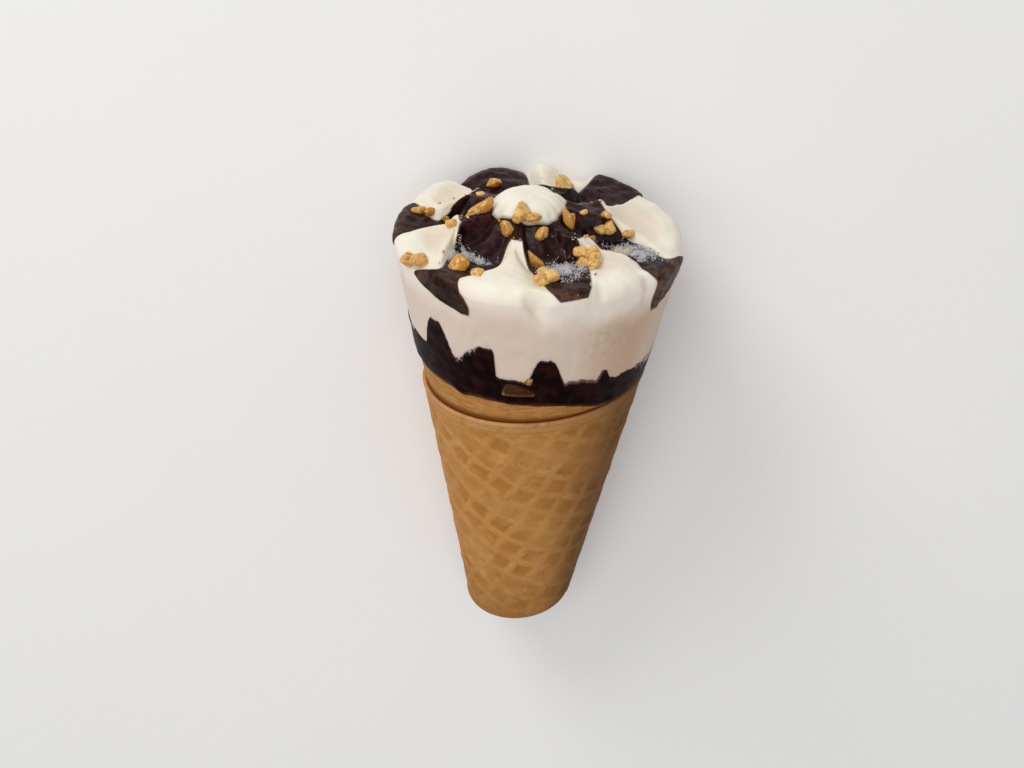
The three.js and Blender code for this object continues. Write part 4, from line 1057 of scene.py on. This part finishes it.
def ice_cream(grid, marks, inside):
    """The white body: the top grid with soft uneven relief, lowered where chocolate lies on it,
    then in under the layer's edge and flat across."""
    z = grid[..., 2]
    angle = angle_of(grid)
    row = np.arange(len(grid))[:, None] + 0 * z
    on_side = smooth(row, marks["side"] - 4, marks["side"])
    above_layer = z - layer_edge(angle)
    icy = window(angle, *ICY_PATCH["angles"]) * window(z, *ICY_PATCH["heights"]) * (row > marks["side"])
    folded = fold(angle, z) * (row > marks["rim"])
    flat = grid * np.array([1, 1, 0.6])
    relief = 0.09 * ripple(flat, 6, 61) + 0.05 * ripple(flat, 2.4, 62) + 0.12 * icy * ripple(grid, 1.3, 63)
    relief = relief * mix(1, smooth(above_layer, 0, 1.6), on_side) - FOLD["depth"] * folded
    sunk = (FILM_UNDER + 0.05) * smooth(inside, 0.25, 0.8)
    sunk = sunk + 0.3 * on_side * (1 - smooth(above_layer, -0.25, 0.15))
    body = grid + normals(grid) * (relief - sunk)[..., None]
    hem = body[-1]
    lowest = LAYER_TOP_INSIDE + GAP
    tucks = []
    for depth, drop, least in ((0.5, 0.3, 0), (COLLAR + 0.4, 0.5, lowest), (COLLAR + 2.6, 0.9, lowest)):
        shrink = 1 - depth / np.linalg.norm(hem[:, :2], axis=1, keepdims=True)
        tucks.append(np.concatenate([hem[:, :2] * shrink, np.maximum(hem[:, 2:] - drop, least)], 1))
    top = [DOLLOP["x"], DOLLOP["y"], DOLLOP["top"]]
    points, faces = closed_grid(np.concatenate([body, tucks]), top, [0, 0, lowest])

    # Painted shade down the side, starting higher on the front petal's lobe
    lobe = bell(apart(angle, SIDE_SHADE["lobe_angle"]) / SIDE_SHADE["lobe_half"])
    turn_z = SIDE_SHADE["z"] + SIDE_SHADE["lobe_lift"] * lobe + 0.5 * ripple(grid, 7, 64)
    side = 1 - smooth(z, turn_z - SIDE_SHADE["half"], turn_z + SIDE_SHADE["half"])
    side = side * (row > marks["rim"])
    # Painted shade in the petals' hollows
    scoop = window(row, marks["ring"] + 4, marks["ring"] + 16, marks["rim"] - 14, marks["rim"] - 1)
    scoop = scoop * (4 * SHARE * (1 - SHARE)) * ON_PETAL
    # Painted shade along the crease on the front petal's far side
    crease_shade = window(row, marks["ring"] + 12, marks["ring"] + 26, marks["rim"] - 6, marks["rim"] + 6)
    crease_shade = crease_shade * window(SHARE, 0.62, 0.86, 0.93, 1.0) * ON_PETAL * (NUMBER == CREST_PETAL)
    # Painted shade in these tints: beige down the side and in the scoops, yellow-green in the creases and the
    # fold, brown on the side's right
    tints = {
        "side": side,
        "flank": smooth(row, marks["rim"] + 5, marks["side"] + 4),
        "scoop": scoop * np.minimum(1, petal_value("scoop") / FULL_SCOOP),
        "valley_shade": np.clip(crease_shade + 0.8 * folded, 0, 1),
        "shade": side * right_shade(angle, 12, 44) * (0.62 - 0.2 * smooth(angle, 46, 60)),
        "icy": icy,
        "stain": 0.6 * (1 - smooth(-inside, 0.0, 0.22)),
    }
    piece("ice_cream_body", points, faces, cream_finish(), "ice_cream", {
        key: with_poles(np.concatenate([values, np.repeat(values[-1:], len(tucks), 0)]))
        for key, values in tints.items()
    })


def topping(grid, marks, inside, cells):
    """The chocolate coating: over the covered cells, a film whose thickness grows from its
    border as a quarter circle, thicker on the leaves, with its under face sunk in the white."""
    rows, columns = grid.shape[:2]
    outward = normals(grid)
    row = np.arange(rows)[:, None] + 0 * inside
    leaf = smooth(row, marks["rim"] - 6, marks["side"])
    full = mix(FILM, FILM_LEAF, leaf)
    across = np.clip(inside / FILM_EDGE_RUN, 0, 1)
    waves = 0.12 * ripple(grid, 3.2, 71) * (1 - 0.6 * leaf) + 0.04 * ripple(grid, 1.1, 72)
    lip_row = marks["rim"] + 8 + 1.5 * ripple(grid, 5, 73)
    lip = bell((row - lip_row) / 2.2)
    thick = (full + waves + 0.15 * lip) * np.sqrt(1 - (1 - across) ** 2) - FILM_SUNK
    over = (grid + outward * thick[..., None]).reshape(-1, 3)
    under = (grid - outward * FILM_UNDER).reshape(-1, 3)
    count = rows * columns
    corners = cell_corners(rows, columns)
    top_faces = corners[cells]
    under_faces = top_faces[:, ::-1] + count
    walls = []
    filled = np.zeros((rows + 1, columns), bool)
    filled[1:-1] = cells
    here = filled[1:-1]
    beside = {
        (0, 1): np.roll(here, 1, 1), (2, 3): np.roll(here, -1, 1),
        (3, 0): filled[:-2], (1, 2): filled[2:],
    }
    for (a, b), neighbour in beside.items():
        ends = corners[here & ~neighbour][:, [a, b]]
        walls.append(np.stack([ends[:, 0], ends[:, 0] + count, ends[:, 1] + count, ends[:, 1]], -1))
    faces = np.concatenate([top_faces, under_faces] + walls)
    used, faces = np.unique(faces, return_inverse=True)
    faces = faces.reshape(-1, 4).tolist()
    points = np.concatenate([over, under])[used]
    away = apart(angle_of(grid), DARK_LEAF["angle"]) / DARK_LEAF["half"]
    tints = {
        "leaf": leaf,
        # The thin border of the film, and the lip's line, which carries a painted highlight
        "rim": np.maximum(np.exp(-np.maximum(inside, 0) / 0.25), 0.55 * lip),
        "dim": DARK_LEAF["share"] * leaf * bell(away),
    }
    piece("chocolate_coating", points, faces, chocolate_finish(), "chocolate_topping", {
        key: np.tile(values.ravel(), 2)[used] for key, values in tints.items()
    })


# Nuts, frost and crumbs


def ball():
    """Unit directions on rings from pole to pole, and the faces of the closed ball."""
    tilt = math.pi * (np.arange(BALL_ROWS)[:, None] + 1) / (BALL_ROWS + 1)
    turn = 2 * math.pi * np.arange(BALL_COLUMNS) / BALL_COLUMNS
    height = np.cos(tilt) + 0 * turn
    grid = np.stack([np.sin(tilt) * np.cos(turn), np.sin(tilt) * np.sin(turn), height], -1)
    return closed_grid(grid, [0, 0, 1.0], [0, 0, -1.0])


def chopped(ways, draw):
    """An angular lump of about unit size: along each way, the radius at which a few random
    flat faces would be met, with the corners between them rounded by a soft maximum."""
    faces = draw.normal(size=(CHOP["faces"], 3))
    faces /= np.linalg.norm(faces, axis=1, keepdims=True)
    depth = draw.uniform(CHOP["near"], CHOP["far"], len(faces))
    reach = np.maximum(ways @ faces.T / depth, 1e-3)
    radius = (reach ** CHOP["sharp"]).sum(1) ** (-1 / CHOP["sharp"])
    return ways * np.minimum(radius, CHOP["reach"])[:, None]


def heap(name, lumps, finish, seed):
    """One piece out of many chopped lumps, each with a middle, half sizes, turn and colours."""
    draw = np.random.default_rng(seed)
    ways, ball_faces = ball()
    points, faces, values = [], [], {key: [] for key in lumps[0]["colour"]}
    for lump in lumps:
        shape = chopped(ways, draw) * lump["half"]
        turn = np.array(Matrix.Rotation(math.radians(lump["turn"]), 3, "Z"))
        tilt = np.array(Matrix.Rotation(-math.radians(lump.get("tilt", 0)), 3, "Y"))
        first = sum(len(part) for part in points)
        points.append(shape @ (turn @ tilt).T + lump["middle"])
        faces += [[corner + first for corner in face] for face in ball_faces]
        for key, amount in lump["colour"].items():
            values[key].append(np.full(len(shape), amount))
    values = {key: np.concatenate(parts) for key, parts in values.items()}
    return piece(name, np.concatenate(points), faces, finish, values=values)


def nuts():
    """Chopped caramelised nuts where they lie, each a lump with two smaller ones stuck on it."""
    draw = np.random.default_rng(81)
    lumps = []
    for x, y, z, length, width, turn, tilt, pale in NUTS:
        half = np.array([length, width, width * NUT_THICK]) / 2
        for size in NUT_LUMPS:
            offset = draw.uniform(-0.5, 0.5, 3) * half * (size < 1)
            lumps.append({
                "middle": np.array([x, y, z]) + offset, "half": half * size,
                "turn": turn + draw.uniform(-60, 60) * (size < 1), "tilt": tilt,
                "colour": {"pale": min(1, max(0, pale + draw.uniform(-0.25, 0.25))), "dark": 0},
            })
    heap("nuts", lumps, nut_finish(), 82)


def layer_nut():
    """The dark brown glazed nut that shows in the side of the layer, with a lighter lower rim,
    and the crumb above it."""
    nut, crumb = LAYER_NUT, LAYER_CRUMB
    upward = ball()[0][:, 2]
    lumps = [{
        "middle": around(envelope(nut["z"]) - nut["deep"] / 2 + nut["proud"], nut["angle"], nut["z"]),
        "half": np.array([nut["wide"], nut["deep"], nut["high"]]) / 2, "turn": nut["angle"],
        "colour": {"pale": 0.1, "dark": 0.95 - 0.65 * smooth(-upward, 0.22, 0.45)},
    }, {
        "middle": around(envelope(crumb["z"]) - crumb["sunk"], crumb["angle"], crumb["z"]),
        "half": np.array(crumb["half"]), "turn": crumb["angle"],
        "colour": {"pale": 0.1, "dark": 0.45},
    }]
    heap("layer_nut", lumps, nut_finish("nut in the layer", 0.06), 83)


def frost(grid, marks, inside):
    """Ice needles: slim three-sided spindles on the chocolate, scattered round a few spots and
    leaning every way off the surface."""
    draw = np.random.default_rng(91)
    outward = normals(grid).reshape(-1, 3)
    angle = angle_of(grid)
    radius = np.hypot(grid[..., 0], grid[..., 1])
    row = np.arange(len(grid))[:, None]
    allowed = (inside > 0.3) & (row > marks["edge"] + 6) & (row < marks["side"] + 6)
    patchy = 0.25 + smooth(ripple(grid, 1.6, 92), -0.3, 0.8)
    feet, ups = [], []
    for middle, at, spread_round, spread_out, count in FROST:
        round_way = np.radians(apart(angle, middle)) * radius / spread_round
        out_way = (radius - at) / spread_out
        weight = np.exp(-(round_way ** 2 + out_way ** 2) * 1.6) * allowed * patchy
        weight = weight.ravel() / weight.sum()
        picked = draw.choice(weight.size, count, p=weight)
        jitter = draw.normal(size=(count, 3)) * NEEDLE_SCATTER
        feet.append(grid.reshape(-1, 3)[picked] + outward[picked] * NEEDLE_LIFT + jitter)
        ups.append(outward[picked])
    foot, up = np.concatenate(feet), np.concatenate(ups)
    way = draw.normal(size=foot.shape) + up * 0.5
    way /= np.linalg.norm(way, axis=1, keepdims=True)
    cross = np.cross(way, draw.normal(size=foot.shape))
    cross /= np.linalg.norm(cross, axis=1, keepdims=True)
    other = np.cross(way, cross)
    length = draw.uniform(*NEEDLE_LENGTH, (len(foot), 1))
    thick = draw.uniform(*NEEDLE_THICK, (len(foot), 1))
    waist = [
        foot + thick * (math.cos(turn) * cross + math.sin(turn) * other)
        for turn in (0, 2 * math.pi / 3, 4 * math.pi / 3)
    ]
    points = np.stack([foot - way * length / 2, *waist, foot + way * length / 2], 1)
    spindle = np.array([[0, 2, 1], [0, 3, 2], [0, 1, 3], [4, 1, 2], [4, 2, 3], [4, 3, 1]])
    faces = (np.arange(len(foot))[:, None, None] * 5 + spindle).reshape(-1, 3)
    piece("frost", points.reshape(-1, 3), faces.tolist(), frost_finish())


def crumbs(grid, marks, inside):
    """Fine nut crumbs and chocolate specks strewn on the top, each a small chopped lump."""
    draw = np.random.default_rng(95)
    row = np.arange(len(grid))[:, None]
    spots = grid[(row > marks["edge"]) & (row < marks["rim"]) & (inside > -3.5)]
    lumps = []
    for _ in range(CRUMB_COUNT):
        middle = spots[draw.integers(len(spots))]
        half = draw.uniform(*CRUMB_HALF) * np.array([1, 0.8, 0.7])
        lumps.append({
            "middle": middle + np.array([0, 0, half[2] * 0.9]), "half": half, "turn": draw.uniform(0, 180),
            "colour": {"pale": draw.uniform(0, 0.8), "dark": 0.7 * (draw.uniform() < DARK_CRUMBS)},
        })
    heap("crumbs", lumps, nut_finish(), 96)


# Stage

# A soft light has a name, a place and a size in metres, and a power in watts
SOFT_LIGHTS = [
    ("overhead light", (-0.1, 0.1, 0.8), 0.7, 2.5),
    ("key light", (-0.45, 0.7, 0.4), 0.4, 3.0),
]
LIGHT_AIM = (0, 0.01, 0.03)
SURROUND = {"Color": (0.97, 0.98, 1.0, 1), "Strength": 0.4}
FLOOR_HALF = 4.0
FLOOR_DROP = 0.0001
LENS_PIXELS = 1500.0
IMAGE_WIDTH = 1024
SENSOR = 36.0
CAMERA_DISTANCE = 326.06
CAMERA_RISE = 31.82
CAMERA_ROLL = 3.411
FRAME_SHIFT = (-19, -21)  # pixels from the image's middle to the middle of the lip, left and down


def camera():
    """The camera at the photograph's angle: above the shown front, aimed at the lip's middle,
    with the cone's axis up in the picture and leaning a little to the right."""
    rise, roll = math.radians(CAMERA_RISE), math.radians(CAMERA_ROLL)
    back = turned([0, -math.cos(rise), math.sin(rise)])
    right = turned([1, 0, 0])
    up = turned([0, math.sin(rise), math.cos(rise)])
    tilted_right = right * math.cos(roll) + up * math.sin(roll)
    tilted_up = up * math.cos(roll) - right * math.sin(roll)
    place = (LIP_CENTRE + back * CAMERA_DISTANCE) * TO_METRES
    lens = bpy.data.cameras.new("camera")
    lens.sensor_width = SENSOR
    lens.lens = SENSOR * LENS_PIXELS / IMAGE_WIDTH
    lens.shift_x, lens.shift_y = (shift / IMAGE_WIDTH for shift in FRAME_SHIFT)
    lens.clip_start = 0.01
    made = bpy.data.objects.new("camera", lens)
    made.matrix_world = Matrix((
        (tilted_right[0], tilted_up[0], back[0], place[0]),
        (tilted_right[1], tilted_up[1], back[1], place[1]),
        (tilted_right[2], tilted_up[2], back[2], place[2]),
        (0, 0, 0, 1),
    ))
    bpy.context.scene.collection.objects.link(made)
    bpy.context.scene.camera = made


def soft_light(name, place, size, power):
    """A square soft light aimed at the middle of the cone."""
    light = bpy.data.lights.new(name, "AREA")
    light.size = size
    light.energy = power
    made = bpy.data.objects.new(name, light)
    made.location = Vector(place)
    aim = Vector(LIGHT_AIM) - made.location
    made.rotation_euler = aim.to_track_quat("-Z", "Y").to_euler()
    bpy.context.scene.collection.objects.link(made)


def stage():
    """A pale floor just under the cone, a pale surround, a high soft light over the shown
    front and a stronger one from the side of the dollop."""
    mesh = bpy.data.meshes.new("floor")
    corners = [(x * FLOOR_HALF, y * FLOOR_HALF, -FLOOR_DROP) for x, y in ((-1, -1), (1, -1), (1, 1), (-1, 1))]
    mesh.from_pydata(corners, [], [(0, 1, 2, 3)])
    finish = Finish("pale floor")
    shade = finish.blend(tone(246, 245, 243), tone(250, 249, 247), finish.noise(60, 2))
    mesh.materials.append(finish.wear(Base_Color=shade, Roughness=finish.noise(20) * 0.1 + 0.75))
    floor = bpy.data.objects.new("floor", mesh)
    bpy.context.scene.collection.objects.link(floor)
    world = bpy.data.worlds.new("surround")
    world.use_nodes = True
    for name, value in SURROUND.items():
        world.node_tree.nodes["Background"].inputs[name].default_value = value
    bpy.context.scene.world = world
    bpy.context.scene.view_settings.view_transform = "Standard"
    for name, place, width, power in SOFT_LIGHTS:
        soft_light(name, place, width, power)


def filling():
    """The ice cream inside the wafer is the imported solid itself, in the cream's finish."""
    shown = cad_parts["ice_cream_in_cone"].data
    shown.materials.clear()
    shown.materials.append(cream_finish())


camera()
stage()
filling()
wafer()
layer()
raw, row_marks = top_grid()
surface = softened(raw, SOFTENING)
chocolate_cells = covered_cells(len(surface), row_marks)
inside_chocolate = distance_inside(surface, chocolate_cells)
ice_cream(surface, row_marks, inside_chocolate)
topping(surface, row_marks, inside_chocolate, chocolate_cells)
nuts()
layer_nut()
frost(surface, row_marks, inside_chocolate)
crumbs(surface, row_marks, inside_chocolate)
